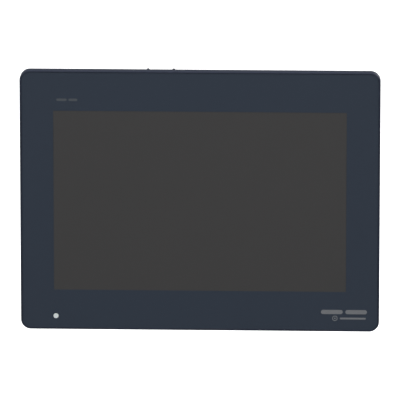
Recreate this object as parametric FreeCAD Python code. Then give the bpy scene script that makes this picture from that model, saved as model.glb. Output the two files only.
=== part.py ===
import FreeCAD, Part
import math
import os

# Operator panel with a 10.1 inch wide touch screen, made to sit in the cut-out of a cabinet door.
# Millimetres. X runs to the right as an operator sees it, Z up, and Y away from the operator.
# The origin is the centre of the plane that the gasket presses against, so the bezel is at y < 0
# and everything behind the door is at y > 0.

V = FreeCAD.Vector

# --- Driving dimensions -------------------------------------------------------------------------
SCREEN_W, SCREEN_H = 216.96, 135.6      # lit area of a 10.1 inch, 16:10 display
PANEL_W, PANEL_H, PANEL_R = 267.0, 196.6, 7.5
BEZEL_T = 8.0                           # bezel thickness, front face to flange
GASKET_PROUD = 0.5                      # gasket height above the flange once it is squeezed
CASE_W, CASE_H, CASE_R = 254.0, 184.0, 4.0   # what passes through the 255 x 185 cut-out
CASE_WALL = 2.2
CASE_DEPTH = 24.0                       # rear case, from the flange back
BOX_W, BOX_R, BOX_WALL = 206.0, 3.0, 2.0
BOX_LOW, BOX_HIGH = -80.0, 86.0         # bottom and top of the rear computer box
BOX_REAR_Y = 60.0

# --- Planes worked out from them ------------------------------------------------------------------
FLANGE_Y = -GASKET_PROUD
FRONT_Y = FLANGE_Y - BEZEL_T
CASE_REAR_Y = FLANGE_Y + CASE_DEPTH
CASE_FLOOR_Y = CASE_REAR_Y - CASE_WALL  # inner face of the rear case's back wall
BOX_MID_Z = (BOX_HIGH + BOX_LOW) / 2
BOX_H = BOX_HIGH - BOX_LOW
BASE_T = 1.2
COVER_Y = CASE_REAR_Y + BASE_T          # front edge of the box cover
COVER_FLOOR_Y = BOX_REAR_Y - BOX_WALL

# Overlay: a clear film with ink behind it, let into the bezel.
RIM_W, RIM_ROUND = 1.1, 0.9
OVERLAY_GAP = 0.2
OVERLAY_W = PANEL_W - 2 * (RIM_W + OVERLAY_GAP)
OVERLAY_H = PANEL_H - 2 * (RIM_W + OVERLAY_GAP)
OVERLAY_R = PANEL_R - RIM_W - OVERLAY_GAP
OVERLAY_Y = FRONT_Y + 0.05
FILM_T, INK_T = 0.5, 0.15
INK_Y = OVERLAY_Y + FILM_T
LEDGE_Y = INK_Y + INK_T                 # floor of the bezel's recess
WINDOW_W, WINDOW_H = SCREEN_W + 0.4, SCREEN_H + 0.4

# Touch sensor and display module, stacked behind the overlay.
SENSOR_W, SENSOR_H = 233.0, 152.0
SENSOR_FILM_T, SENSOR_GLASS_T = 0.2, 1.8
OPENING_W, OPENING_H = 236.0, 156.0
SENSOR_GLASS_Y = LEDGE_Y + SENSOR_FILM_T
SEAL_Y = SENSOR_GLASS_Y + SENSOR_GLASS_T
SEAL_T = 0.9
LCD_Y = SEAL_Y + SEAL_T
LCD_W, LCD_H = 229.4, 149.0
LCD_STEEL, TRAY_STEEL = 0.4, 0.6
CELL_Y = LCD_Y + LCD_STEEL
CELL_T, DIFFUSER_T, GUIDE_T = 1.4, 0.8, 2.8
DIFFUSER_Y = CELL_Y + CELL_T
GUIDE_Y = DIFFUSER_Y + DIFFUSER_T
TRAY_Y = GUIDE_Y + GUIDE_T              # front of the tray's floor
CHASSIS_Y = TRAY_Y + TRAY_STEEL
CHASSIS_T = 1.6
CHASSIS_REAR_Y = CHASSIS_Y + CHASSIS_T

# Status lamp, under the lower left corner of the screen.
LAMP_X, LAMP_Z, LAMP_R = -107.3, -88.1, 1.9
LAMP_ARM_TOP = -77.0

# Gasket ring, centred on the flange.
GASKET_IN_W, GASKET_IN_H, GASKET_IN_R = 256.0, 186.0, 4.0
GASKET_W, GASKET_DEPTH = 3.2, 2.0

# Cable tie lugs on the box's roof, and the blank plate let into its back.
LUG_X, LUG_Y, LUG_H = (-40.2, -21.1), 36.5, 5.6
LUG_T, LUG_R, LUG_HOLE_R = 1.8, 3.4, 1.8
PLATE_W, PLATE_H, PLATE_T = 74.0, 42.0, 0.3
PLATE_X, PLATE_Z = 48.0, -40.0

# Circuit boards.
BOARD_T = 1.6
LINK_BOARD_Y = 9.0
MAIN_BOARD_Y = 34.0
PARTS_Y = MAIN_BOARD_Y + BOARD_T        # rear face of the main board, where its parts stand
MAIN_BOARD_LOW, MAIN_BOARD_HIGH, MAIN_BOARD_W = -77.0, 65.0, 180.0

# Screws.
M3_R, M3_HOLE_R, M3_HEAD_R, M3_HEAD_H = 1.5, 1.7, 2.8, 2.2
CASE_SCREW_AT = [(x, z) for z in (84.0, -84.0) for x in (-116.0, 0.0, 116.0)]
BOX_SCREW_AT = [(x, z) for z in (79.0, -73.0) for x in (-96.0, 96.0)]
WELL_FLOOR_Y = COVER_Y + 3.3

# Door clamps: two on each side wall. The bracket's neck goes through a keyhole slot in the wall.
CLAMP_SIDES = [(1, 50.0), (1, -50.0), (-1, 50.0), (-1, -50.0)]
CLAMP_AXIS_X = 130.2
CLAMP_SCREW_R, CLAMP_BORE_R = 1.95, 2.0
CLAMP_HEAD_R, FOOT_R = 2.5, 2.5
FOOT_Y, FOOT_T = 6.0, 3.0
BRACKET_Y, BRACKET_REAR_Y, BRACKET_HALF_H = 12.0, 21.0, 5.0
NECK_Y, NECK_REAR_Y, NECK_LOW, NECK_HIGH = 13.5, 17.5, -4.3, 3.7
LIP_SPREAD = 1.8
CLAMP_LIFT = 8.5                        # upward travel that frees the bracket
SLOT_GAP = 0.2
SCREW_HEAD_Y = 37.0

# Ports on the bottom of the box, by the X of their centres.
POWER_X, EARTH_X = -80.0, -60.0
LAN_X = (-38.0, -18.0)
USB_X = (4.0, 22.0)
SERIAL_X = 58.0
POWER_Y = PARTS_Y + 5.6
POLE_PITCH = 5.08

# Door on the right side of the box, and what is behind it.
DOOR_LOW, DOOR_HIGH = -20.0, 45.0
DOOR_Y, DOOR_REAR_Y = 36.0, 56.4
DOOR_GAP = 0.3
HINGE_X, HINGE_Y, HINGE_R = BOX_W / 2 - 2.4, 53.6, 2.4
HINGE_PIN_R, HINGE_HOLE_R, HINGE_PIN_L = 1.1, 1.15, 1.8
CARD_Z, CARD_H, CARD_L, CARD_T = 25.0, 24.0, 32.0, 2.1
CARD_Y, CARD_END_X = 36.5, 96.0
DIP_Z, DIP_PITCH, DIP_FACE_X = -10.0, 2.54, 96.5
DIP_Y, DIP_REAR_Y = PARTS_Y, PARTS_Y + 6.2
RESET_Z, RESET_Y = 3.5, 39.0


# --- Shape helpers --------------------------------------------------------------------------------
def block(x0, x1, y0, y1, z0, z1):
    """Box between two corners."""
    return Part.makeBox(x1 - x0, y1 - y0, z1 - z0, V(x0, y0, z0))


def around(x, z, width, height, y0, y1):
    """Box of width x height centred on (x, z), from y0 to y1."""
    return block(x - width / 2, x + width / 2, y0, y1, z - height / 2, z + height / 2)


def edges_along(shape, axis):
    """Straight edges of a shape that run along an axis."""
    found = []
    for edge in shape.Edges:
        a, b = edge.Vertexes[0].Point, edge.Vertexes[-1].Point
        run = b.sub(a)
        if run.Length > 1e-6 and abs(run.dot(axis)) > 0.999 * run.Length:
            found.append(edge)
    return found


def edges_at_y(shape, y):
    """Edges of a shape that lie in the plane of that y."""
    return [e for e in shape.Edges if all(abs(v - y) < 1e-4 for v in (e.BoundBox.YMin, e.BoundBox.YMax))]


def slab(width, height, radius, y0, y1, x=0.0, z=0.0):
    """Upright plate with rounded corners, centred on (x, z), from y0 to y1."""
    body = around(x, z, width, height, y0, y1)
    return body.makeFillet(radius, edges_along(body, V(0, 1, 0))) if radius > 0 else body


def rod_x(radius, y, z, x0, x1):
    """Cylinder along X."""
    return Part.makeCylinder(radius, x1 - x0, V(x0, y, z), V(1, 0, 0))


def rod_y(radius, x, z, y0, y1):
    """Cylinder along Y."""
    return Part.makeCylinder(radius, y1 - y0, V(x, y0, z), V(0, 1, 0))


def rod_z(radius, x, y, z0, z1):
    """Cylinder along Z."""
    return Part.makeCylinder(radius, z1 - z0, V(x, y, z0), V(0, 0, 1))


def joined(shapes):
    """One solid out of several that touch or overlap."""
    return shapes[0].multiFuse(shapes[1:]).removeSplitter() if len(shapes) > 1 else shapes[0]


def group(shapes):
    """Several separate solids in one sub-part."""
    return Part.makeCompound(shapes)


def slots(xs, zs, width, height, y0, y1):
    """Round-ended slots through a wall that faces Y, at every x and z."""
    radius = 0.499 * min(width, height)
    return [slab(width, height, radius, y0, y1, x, z) for x in xs for z in zs]


def spread(count, pitch, centre=0.0):
    """Evenly spaced positions about a centre."""
    return [centre + (i - (count - 1) / 2) * pitch for i in range(count)]


def pan_screw(x, z, head_y, head_h, tip_y, shank_r=M3_R, head_r=M3_HEAD_R):
    """Screw driven towards -Y, with a domed head and a cross recess. head_y is under the head."""
    top = head_y + head_h
    head = rod_y(head_r, x, z, head_y, top)
    head = head.makeFillet(0.45 * head_h, edges_at_y(head, top))
    screw = joined([head, rod_y(shank_r, x, z, tip_y, head_y)])
    arm, half = 1.5 * head_r / 2, 0.16 * head_r
    deep = top - 0.55 * head_h
    return screw.cut([
        block(x - arm, x + arm, deep, top, z - half, z + half),
        block(x - half, x + half, deep, top, z - arm, z + arm),
    ])


def ribbon(points, radius, thickness, x0, x1):
    """Flat cable between x0 and x1. points are the (y, z) corners of its route, each turned on a radius."""
    half = thickness / 2
    sides = {1: [], -1: []}
    runs = [V(0, b[0] - a[0], b[1] - a[1]).normalize() for a, b in zip(points, points[1:])]
    starts = {}
    for side in sides:
        normal = V(0, -runs[0].z, runs[0].y) * (side * half)
        starts[side] = V(0, *points[0]) + normal
    here = dict(starts)
    for corner, before, after in zip(points[1:-1], runs, runs[1:]):
        turn = math.acos(max(-1.0, min(1.0, before.dot(after))))
        reach = radius * math.tan(turn / 2)
        sense = 1 if before.y * after.z - before.z * after.y > 0 else -1
        at = V(0, *corner)
        inward = V(0, -before.z, before.y) * sense
        centre = at - before * reach + inward * radius
        middle = (after - before).normalize()
        for side in sides:
            r = radius - side * sense * half
            begin = centre - inward * r
            end = centre - V(0, -after.z, after.y) * sense * r
            sides[side].append(Part.makeLine(here[side], begin))
            sides[side].append(Part.Arc(begin, centre - middle * r, end).toShape())
            here[side] = end
    for side in sides:
        normal = V(0, -runs[-1].z, runs[-1].y) * (side * half)
        end = V(0, *points[-1]) + normal
        sides[side].append(Part.makeLine(here[side], end))
        here[side] = end
    edges = sides[1] + sides[-1]
    edges.append(Part.makeLine(starts[1], starts[-1]))
    edges.append(Part.makeLine(here[1], here[-1]))
    face = Part.Face(Part.Wire(Part.__sortEdges__(edges)))
    strip = face.extrude(V(x1 - x0, 0, 0))
    strip.translate(V(x0, 0, 0))
    return strip


# --- Front module -----------------------------------------------------------------------------------
def gasket_ring(y0, y1):
    """The gasket's own ring between two depths. The bezel's groove has the same outline."""
    outer = slab(GASKET_IN_W + 2 * GASKET_W, GASKET_IN_H + 2 * GASKET_W, GASKET_IN_R + GASKET_W, y0, y1)
    return outer.cut(slab(GASKET_IN_W, GASKET_IN_H, GASKET_IN_R, y0, y1))


def lamp_pipe():
    """Clear pipe from the lamp board to the overlay: a round nose and a flat arm let into the bezel."""
    nose = rod_y(LAMP_R, LAMP_X, LAMP_Z, INK_Y, FLANGE_Y - 2.4)
    arm = block(LAMP_X - 2, LAMP_X + 2, FLANGE_Y - 2.4, FLANGE_Y, LAMP_Z - 2, LAMP_ARM_TOP)
    return joined([nose, arm])


def front_bezel():
    """Moulded frame: rounded rim, recess for the overlay, gasket groove and screw bosses."""
    body = slab(PANEL_W, PANEL_H, PANEL_R, FRONT_Y, FLANGE_Y)
    body = body.makeFillet(RIM_ROUND, edges_at_y(body, FRONT_Y))
    recess = slab(PANEL_W - 2 * RIM_W, PANEL_H - 2 * RIM_W, PANEL_R - RIM_W, FRONT_Y, LEDGE_Y)
    opening = slab(OPENING_W, OPENING_H, 1.5, LEDGE_Y, FLANGE_Y)
    nose = rod_y(LAMP_R + 0.1, LAMP_X, LAMP_Z, LEDGE_Y, FLANGE_Y - 2.4)
    arm = block(LAMP_X - 2.1, LAMP_X + 2.1, FLANGE_Y - 2.4, FLANGE_Y, LAMP_Z - 2.1, -OPENING_H / 2)
    body = body.cut([recess, opening, gasket_ring(FLANGE_Y - GASKET_DEPTH, FLANGE_Y), nose, arm])
    bosses = [rod_y(3.6, x, z, FLANGE_Y, CHASSIS_Y) for x, z in CASE_SCREW_AT]
    holes = [rod_y(M3_R, x, z, FLANGE_Y - 5.0, CHASSIS_Y) for x, z in CASE_SCREW_AT]
    return joined([body] + bosses).cut(holes)


def installation_gasket():
    """Rubber ring in the flange's groove, which seals against the cabinet door."""
    return gasket_ring(FLANGE_Y - GASKET_DEPTH, 0.0)


def overlay_sheet():
    """Clear hard-coated film over the whole front."""
    return slab(OVERLAY_W, OVERLAY_H, OVERLAY_R, OVERLAY_Y, INK_Y)


def overlay_print():
    """Ink on the film's back: everything but the window and the lamp's dot."""
    ink = slab(OVERLAY_W, OVERLAY_H, OVERLAY_R, INK_Y, LEDGE_Y)
    window = slab(WINDOW_W, WINDOW_H, 0.4, INK_Y, LEDGE_Y)
    return ink.cut([window, rod_y(LAMP_R, LAMP_X, LAMP_Z, INK_Y, LEDGE_Y)])


def touch_film():
    """Flexible upper layer of the resistive touch sensor."""
    return slab(SENSOR_W, SENSOR_H, 1.0, LEDGE_Y, SENSOR_GLASS_Y)


def touch_glass():
    """Rigid lower layer of the touch sensor."""
    return slab(SENSOR_W, SENSOR_H, 1.0, SENSOR_GLASS_Y, SEAL_Y)


def touch_tail():
    """Flat cable from the touch sensor's lower edge, round the display module, to the link board."""
    y = SEAL_Y + 0.15
    route = [(y, -74.8), (y, -76.9), (6.0, -76.9), (6.0, -40.0), (LINK_BOARD_Y, -40.0)]
    return ribbon(route, 1.2, 0.3, 40.0, 52.0)


def dust_seal():
    """Foam frame between the touch glass and the display."""
    outer = slab(LCD_W, LCD_H, 0.8, SEAL_Y, LCD_Y)
    return outer.cut(slab(219.5, 138.5, 0.8, SEAL_Y, LCD_Y))


def lcd_front_frame():
    """Steel frame that wraps the display's front edge."""
    shell = slab(LCD_W, LCD_H, 0.8, LCD_Y, CHASSIS_Y - 0.1)
    inside = around(0, 0, LCD_W - 2 * LCD_STEEL, LCD_H - 2 * LCD_STEEL, CELL_Y, CHASSIS_Y)
    return shell.cut([inside, around(0, 0, 219.6, 138.4, LCD_Y, CELL_Y)])


def lcd_cell():
    """The liquid crystal glass."""
    return around(0, 0, 225.0, 145.0, CELL_Y, DIFFUSER_Y)


def diffuser_stack():
    """Diffuser and prism films, as one stack."""
    return around(0, 0, 224.0, 143.0, DIFFUSER_Y, GUIDE_Y)


def light_guide():
    """Acrylic plate that spreads the backlight."""
    return block(-111.5, 111.5, GUIDE_Y, TRAY_Y, -67.0, 71.0)


def backlight_led_bar():
    """Strip of white lamps along the light guide's lower edge."""
    strip = block(-110.0, 110.0, GUIDE_Y, TRAY_Y, -70.8, -69.8)
    lamps = [block(x - 2, x + 2, GUIDE_Y + 0.3, TRAY_Y - 0.3, -69.8, -67.2) for x in spread(24, 8.8)]
    return joined([strip] + lamps)


def lcd_rear_tray():
    """Steel tray that holds the films, the light guide and the lamps, with the cable socket on it."""
    shell = around(0, 0, LCD_W - 1.0, LCD_H - 1.0, DIFFUSER_Y, CHASSIS_Y)
    inside = around(0, 0, LCD_W - 2.2, LCD_H - 2.2, DIFFUSER_Y, TRAY_Y)
    return joined([shell.cut(inside), around(-60, 30, 28.0, 5.0, CHASSIS_Y, CHASSIS_Y + 2.4)])


def lcd_ribbon():
    """Flat cable from the display to the link board."""
    y = CHASSIS_Y + 2.4
    route = [(y, 30.0), (y + 2.4, 30.0), (y + 2.4, 20.0), (LINK_BOARD_Y, 20.0)]
    return ribbon(route, 0.9, 0.3, -72.0, -48.0)


def display_chassis():
    """Aluminium plate behind the display, which carries the link board and takes the case screws."""
    plate = slab(242.0, 178.0, 3.0, CHASSIS_Y, CHASSIS_REAR_Y)
    flanges = [
        block(x - 42.0, x + 42.0, CHASSIS_REAR_Y, 12.0, z - 0.8, z + 0.8)
        for x in (-54.0, 54.0) for z in (-80.5, 80.5)
    ]
    holes = [rod_y(M3_HOLE_R, x, z, CHASSIS_Y, CHASSIS_REAR_Y) for x, z in CASE_SCREW_AT]
    windows = [
        slab(34.0, 14.0, 2.0, CHASSIS_Y, CHASSIS_REAR_Y, -60.0, 28.0),
        block(36.0, 56.0, CHASSIS_Y, 12.0, -90.0, -75.2),
    ]
    lighten = slots(spread(3, 60.0), (-52.0, 62.0), 44.0, 12.0, CHASSIS_Y, CHASSIS_REAR_Y)
    return joined([plate] + flanges).cut(holes + windows + lighten)


LINK_BOARD_W, LINK_BOARD_H = 160.0, 88.0
LINK_STANDOFF_AT = [(x, z) for x in (-74.0, 74.0) for z in (-38.0, 38.0)]
MAIN_STANDOFF_AT = [(x, z) for x in (-84.0, 84.0) for z in (-58.0, 58.0)]


def link_board():
    """Circuit board in the front module, which drives the display and reads the touch sensor."""
    board = slab(LINK_BOARD_W, LINK_BOARD_H, 2.0, LINK_BOARD_Y, LINK_BOARD_Y + BOARD_T)
    return board.cut([rod_y(M3_R, x, z, LINK_BOARD_Y, LINK_BOARD_Y + BOARD_T) for x, z in LINK_STANDOFF_AT])


def link_socket():
    """Socket on the link board that the box plugs into."""
    body = around(0, 0, 60.0, 8.0, LINK_BOARD_Y + BOARD_T, 22.0)
    return body.cut(around(0, 0, 55.0, 3.6, 16.6, 22.0))


def link_plug():
    """Plug on the main board that reaches forward into the link socket."""
    return joined([around(0, 0, 60.0, 8.0, 22.0, MAIN_BOARD_Y), around(0, 0, 54.4, 3.0, 17.0, 22.0)])


def status_light_pipe():
    """Milky pipe that shows the status lamp on the front."""
    return lamp_pipe()


def led_board():
    """Small board with the status lamp, behind the light pipe's arm."""
    board = block(-112.0, -100.0, FLANGE_Y + 0.6, CHASSIS_Y, -84.5, -76.0)
    lamp = around(LAMP_X, -80.0, 3.0, 3.0, FLANGE_Y, FLANGE_Y + 0.6)
    return joined([board, lamp])


def keyhole(side, z):
    """Slot in a side wall: narrow where the clamp's neck rests, wide above it to let the lip out."""
    x0, x1 = sorted((side * (CASE_W / 2 - CASE_WALL - 0.1), side * (CASE_W / 2 + 0.1)))
    low, high = z + NECK_LOW - SLOT_GAP, z + NECK_HIGH + SLOT_GAP
    spread_y = LIP_SPREAD + 2 * SLOT_GAP
    narrow = block(x0, x1, NECK_Y - SLOT_GAP, NECK_REAR_Y + SLOT_GAP, low, high + CLAMP_LIFT)
    wide = block(x0, x1, NECK_Y - spread_y, NECK_REAR_Y + spread_y, high, high + CLAMP_LIFT)
    return joined([narrow, wide])


def rear_case():
    """Shell behind the door, which goes through the cut-out and carries the clamps and the box."""
    shell = slab(CASE_W, CASE_H, CASE_R, FLANGE_Y, CASE_REAR_Y)
    shell = shell.makeFillet(1.2, edges_at_y(shell, CASE_REAR_Y))
    inner_w, inner_h = CASE_W - 2 * CASE_WALL, CASE_H - 2 * CASE_WALL
    shell = shell.cut(slab(inner_w, inner_h, CASE_R - CASE_WALL, FLANGE_Y, CASE_FLOOR_Y))
    columns = [rod_y(4.2, x, z, CHASSIS_REAR_Y, CASE_FLOOR_Y) for x, z in CASE_SCREW_AT]
    sockets = [rod_y(3.4, x, z, 14.0, CASE_FLOOR_Y) for x, z in BOX_SCREW_AT]
    pads = [
        slab(11.0, 38.0, 2.0, CASE_REAR_Y, CASE_REAR_Y + 0.8, x, z)
        for x in (-115.5, 115.5) for z in (-56.0, 56.0)
    ]
    holes = [rod_y(M3_HOLE_R, x, z, CHASSIS_REAR_Y, CASE_REAR_Y) for x, z in CASE_SCREW_AT]
    holes += [rod_y(3.1, x, z, CASE_REAR_Y - 2.6, CASE_REAR_Y) for x, z in CASE_SCREW_AT]
    holes += [rod_y(M3_R, x, z, 14.0, CASE_REAR_Y) for x, z in BOX_SCREW_AT]
    link = slab(72.0, 18.0, 2.0, CASE_FLOOR_Y, CASE_REAR_Y)
    vents = slots((-115.5, 115.5), spread(7, 6.0), 14.0, 2.6, CASE_FLOOR_Y, CASE_REAR_Y)
    roof_vents = [
        block(x - 5, x + 5, y, y + 2.4, z - 3, z + 3)
        for x in spread(12, 15.0) for y in (8.0, 14.0) for z in (-CASE_H / 2, CASE_H / 2)
    ]
    keyholes = [keyhole(side, z) for side, z in CLAMP_SIDES]
    return joined([shell] + columns + sockets + pads).cut(holes + [link] + vents + roof_vents + keyholes)


def case_screws():
    """Screws that hold the rear case, the chassis and the bezel together."""
    return group([
        pan_screw(x, z, CASE_REAR_Y - 2.6, M3_HEAD_H, FLANGE_Y - 4.5, M3_R - 0.02) for x, z in CASE_SCREW_AT
    ])


# --- Door clamps --------------------------------------------------------------------------------------
def clamp_bracket(side, z):
    """Hooked bracket: a block outside the wall with the screw's bore, a neck, and a lip inside the wall."""
    wall_out, wall_in = CASE_W / 2, CASE_W / 2 - CASE_WALL
    outside = block(wall_out + 0.15, wall_out + 6.0, BRACKET_Y, BRACKET_REAR_Y, z - BRACKET_HALF_H, z + BRACKET_HALF_H)
    outside = outside.makeFillet(0.8, edges_along(outside, V(0, 1, 0)))
    neck = block(wall_in - 0.2, wall_out + 0.2, NECK_Y, NECK_REAR_Y, z + NECK_LOW, z + NECK_HIGH)
    lip = block(
        wall_in - 1.8, wall_in - 0.15, NECK_Y - LIP_SPREAD, NECK_REAR_Y + LIP_SPREAD, z + NECK_LOW, z + NECK_HIGH
    )
    body = joined([outside, neck, lip])
    body = body.cut(rod_y(CLAMP_BORE_R, CLAMP_AXIS_X, z, BRACKET_Y, BRACKET_REAR_Y))
    return body if side > 0 else body.mirror(V(0, 0, 0), V(1, 0, 0))


def clamp_foot(side, z):
    """Plastic cap on the screw's tip, which presses on the door without turning."""
    x = side * CLAMP_AXIS_X
    cap = rod_y(FOOT_R, x, z, FOOT_Y, FOOT_Y + FOOT_T)
    return cap.cut(rod_y(1.65, x, z, FOOT_Y + 1.0, FOOT_Y + FOOT_T))


def clamp_screw(side, z):
    """Long screw through the bracket, with a plain point that turns in the foot."""
    x = side * CLAMP_AXIS_X
    neck_y = FOOT_Y + FOOT_T + 0.3
    body = pan_screw(x, z, SCREW_HEAD_Y, 2.6, neck_y, CLAMP_SCREW_R, CLAMP_HEAD_R)
    return joined([body, rod_y(1.6, x, z, FOOT_Y + 1.1, neck_y)])


# --- Rear box --------------------------------------------------------------------------------------------
def box_base():
    """Steel plate that closes the box's front and lies on the rear case."""
    plate = slab(BOX_W - 1.0, BOX_H - 1.0, BOX_R, CASE_REAR_Y, COVER_Y, 0, BOX_MID_Z)
    holes = [rod_y(M3_HOLE_R, x, z, CASE_REAR_Y, COVER_Y) for x, z in BOX_SCREW_AT]
    hidden = [rod_y(3.1, 0.0, CASE_SCREW_AT[1][1], CASE_REAR_Y, COVER_Y)]
    return plate.cut(holes + hidden + [slab(72.0, 18.0, 2.0, CASE_REAR_Y, COVER_Y)])


def port_openings():
    """Holes in the box's bottom wall, one for each port."""
    z0, z1 = BOX_LOW - 0.5, BOX_LOW + BOX_WALL
    cuts = [block(POWER_X - 9.4, POWER_X + 9.4, POWER_Y - 6.5, POWER_Y + 6.5, z0, z1)]
    cuts += [block(x - 8.2, x + 8.2, PARTS_Y - 0.2, PARTS_Y + 13.7, z0, z1) for x in LAN_X]
    cuts += [block(x - 6.9, x + 6.9, PARTS_Y + 0.4, PARTS_Y + 7.0, z0, z1) for x in USB_X]
    cuts.append(block(SERIAL_X - 9.2, SERIAL_X + 9.2, PARTS_Y + 1.6, PARTS_Y + 10.8, z0, z1))
    cuts += [rod_z(1.6, x, PARTS_Y + 6.2, z0, z1) for x in (SERIAL_X - 12.5, SERIAL_X + 12.5)]
    return cuts


def tie_lug(x):
    """Small upright ear on the box's roof, with a hole for a cable tie."""
    x0, x1, top = x - LUG_T / 2, x + LUG_T / 2, BOX_HIGH + LUG_H
    centre_z = top - LUG_R
    ear = joined([
        block(x0, x1, LUG_Y - LUG_R, LUG_Y + LUG_R, BOX_HIGH - 0.5, centre_z),
        rod_x(LUG_R, LUG_Y, centre_z, x0, x1),
    ])
    return ear.cut(rod_x(LUG_HOLE_R, LUG_Y, centre_z, x0, x1))


def box_cover():
    """Vented shell of the rear box, with screw wells, port openings, tie lugs and the door's opening."""
    half = BOX_W / 2
    shell = slab(BOX_W, BOX_H, BOX_R, COVER_Y, BOX_REAR_Y, 0, BOX_MID_Z)
    shell = shell.makeFillet(1.6, edges_at_y(shell, BOX_REAR_Y))
    shell = shell.cut(slab(
        BOX_W - 2 * BOX_WALL, BOX_H - 2 * BOX_WALL, BOX_R - BOX_WALL, COVER_Y, COVER_FLOOR_Y, 0, BOX_MID_Z
    ))
    wells = [rod_y(4.6, x, z, COVER_Y, COVER_FLOOR_Y) for x, z in BOX_SCREW_AT]
    ears = [
        block(HINGE_X - 2.6, half - 0.5, HINGE_Y - 2.6, HINGE_Y + 2.6, z0, z0 + 2.6)
        for z0 in (DOOR_LOW - 2.6, DOOR_HIGH)
    ]
    earth_boss = rod_z(4.5, EARTH_X, POWER_Y, BOX_LOW + 0.5, BOX_LOW + 8.0)
    body = joined([shell] + wells + ears + [earth_boss] + [tie_lug(x) for x in LUG_X])
    cuts = port_openings()
    for x, z in BOX_SCREW_AT:
        cuts += [rod_y(M3_HOLE_R, x, z, COVER_Y, WELL_FLOOR_Y), rod_y(3.4, x, z, WELL_FLOOR_Y, BOX_REAR_Y)]
    cuts.append(block(half - 3.0, half + 0.5, DOOR_Y, DOOR_REAR_Y, DOOR_LOW, DOOR_HIGH))
    cuts.append(rod_z(HINGE_HOLE_R, HINGE_X, HINGE_Y, DOOR_LOW - 2.0, DOOR_HIGH + 2.0))
    cuts.append(rod_z(1.95, EARTH_X, POWER_Y, BOX_LOW - 0.5, BOX_LOW + 7.0))
    cuts.append(slab(PLATE_W + 0.4, PLATE_H + 0.4, 1.5, BOX_REAR_Y - PLATE_T, BOX_REAR_Y, PLATE_X, PLATE_Z))
    cuts += slots(spread(13, 6.0, -46.0), (34.0, -36.0), 2.6, 44.0, COVER_FLOOR_Y, BOX_REAR_Y)
    cuts += slots(spread(11, 6.0, 46.0), (34.0,), 2.6, 44.0, COVER_FLOOR_Y, BOX_REAR_Y)
    cuts += [
        block(x - 1.3, x + 1.3, 30.0, 40.0, BOX_HIGH - 2.5, BOX_HIGH + 0.5) for x in spread(15, 6.0, 45.0)
    ]
    cuts += [
        block(x - 1.3, x + 1.3, 30.0, 52.0, BOX_HIGH - 2.5, BOX_HIGH + 0.5) for x in spread(7, 6.0, -76.0)
    ]
    return body.cut(cuts)


def main_board():
    """The box's circuit board, upright and parallel to the screen."""
    mid = (MAIN_BOARD_LOW + MAIN_BOARD_HIGH) / 2
    board = slab(MAIN_BOARD_W, MAIN_BOARD_HIGH - MAIN_BOARD_LOW, 1.0, MAIN_BOARD_Y, PARTS_Y, 0, mid)
    return board.cut([rod_y(M3_R, x, z, MAIN_BOARD_Y, PARTS_Y) for x, z in MAIN_STANDOFF_AT])


def board_standoffs():
    """Spacers that hold both boards."""
    front = [rod_y(2.8, x, z, CHASSIS_REAR_Y, LINK_BOARD_Y) for x, z in LINK_STANDOFF_AT]
    rear = [rod_y(2.8, x, z, COVER_Y, MAIN_BOARD_Y) for x, z in MAIN_STANDOFF_AT]
    return group(front + rear)


def chip(x, z, width, height, tall, y=PARTS_Y):
    """One flat electronic part standing on a board."""
    return around(x, z, width, height, y, y + tall)


def board_parts():
    """Chips, coils and capacitors on both boards, the battery holder, the buzzer and the reset switch."""
    link_y = LINK_BOARD_Y + BOARD_T
    parts = [
        chip(-44, 26, 20, 20, 1.6, link_y), chip(44, 24, 14, 14, 1.4, link_y), chip(-40, -26, 12, 8, 1.2, link_y),
        chip(10, -28, 16, 6, 1.2, link_y), chip(0, 8, 30, 30, 2.4),
        chip(-34, 34, 14, 11, 1.2), chip(-34, 18, 14, 11, 1.2), chip(-34, 2, 14, 11, 1.2), chip(36, 40, 18, 18, 1.5),
        chip(36, 12, 12, 8, 1.3), chip(-62, 20, 16, 16, 1.4), chip(2, -40, 10, 10, 1.2), chip(-18, -44, 14, 10, 4.0),
        chip(-38, -44, 14, 10, 4.0), chip(-78, -46, 13, 13, 7.0), chip(-58, -48, 12, 12, 6.0),
    ]
    parts += [rod_y(4.0, x, -24.0, PARTS_Y, PARTS_Y + 11.0) for x in (-80.0, -69.0, -58.0)]
    parts.append(rod_y(6.0, -72.0, 46.0, PARTS_Y, PARTS_Y + 7.5))
    holder = rod_y(12.0, 74.0, -8.0, PARTS_Y, PARTS_Y + 3.6).cut(rod_y(10.1, 74.0, -8.0, PARTS_Y + 0.6, PARTS_Y + 3.6))
    parts.append(holder)
    switch = block(86.5, 95.5, PARTS_Y, PARTS_Y + 6.4, RESET_Z - 3.2, RESET_Z + 3.2)
    parts.append(switch.cut(rod_x(1.55, RESET_Y, RESET_Z, 91.0, 95.5)))
    return group(parts)


def heat_sink():
    """Finned block on the processor."""
    y = PARTS_Y + 2.4
    base = around(0, 8, 44.0, 44.0, y, y + 3.0)
    fins = [around(x, 8, 1.4, 44.0, y + 2.5, y + 17.0) for x in spread(10, 4.7)]
    return joined([base] + fins)


def lan_jacks():
    """Two network jacks, mouths down, each with its latch slot and its eight spring wires' comb."""
    jacks = []
    for x in LAN_X:
        shell = block(x - 8.0, x + 8.0, PARTS_Y, PARTS_Y + 13.5, BOX_LOW, BOX_LOW + 21.0)
        mouth = block(x - 5.9, x + 5.9, PARTS_Y + 2.6, PARTS_Y + 9.6, BOX_LOW, BOX_LOW + 13.5)
        latch = block(x - 3.1, x + 3.1, PARTS_Y + 9.6, PARTS_Y + 11.4, BOX_LOW, BOX_LOW + 13.5)
        comb = [
            block(cx - 0.2, cx + 0.2, PARTS_Y + 2.4, PARTS_Y + 3.3, BOX_LOW + 3.0, BOX_LOW + 13.7)
            for cx in spread(8, 1.02, x)
        ]
        jacks.append(joined([shell.cut([mouth, latch])] + comb))
    return group(jacks)


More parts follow.
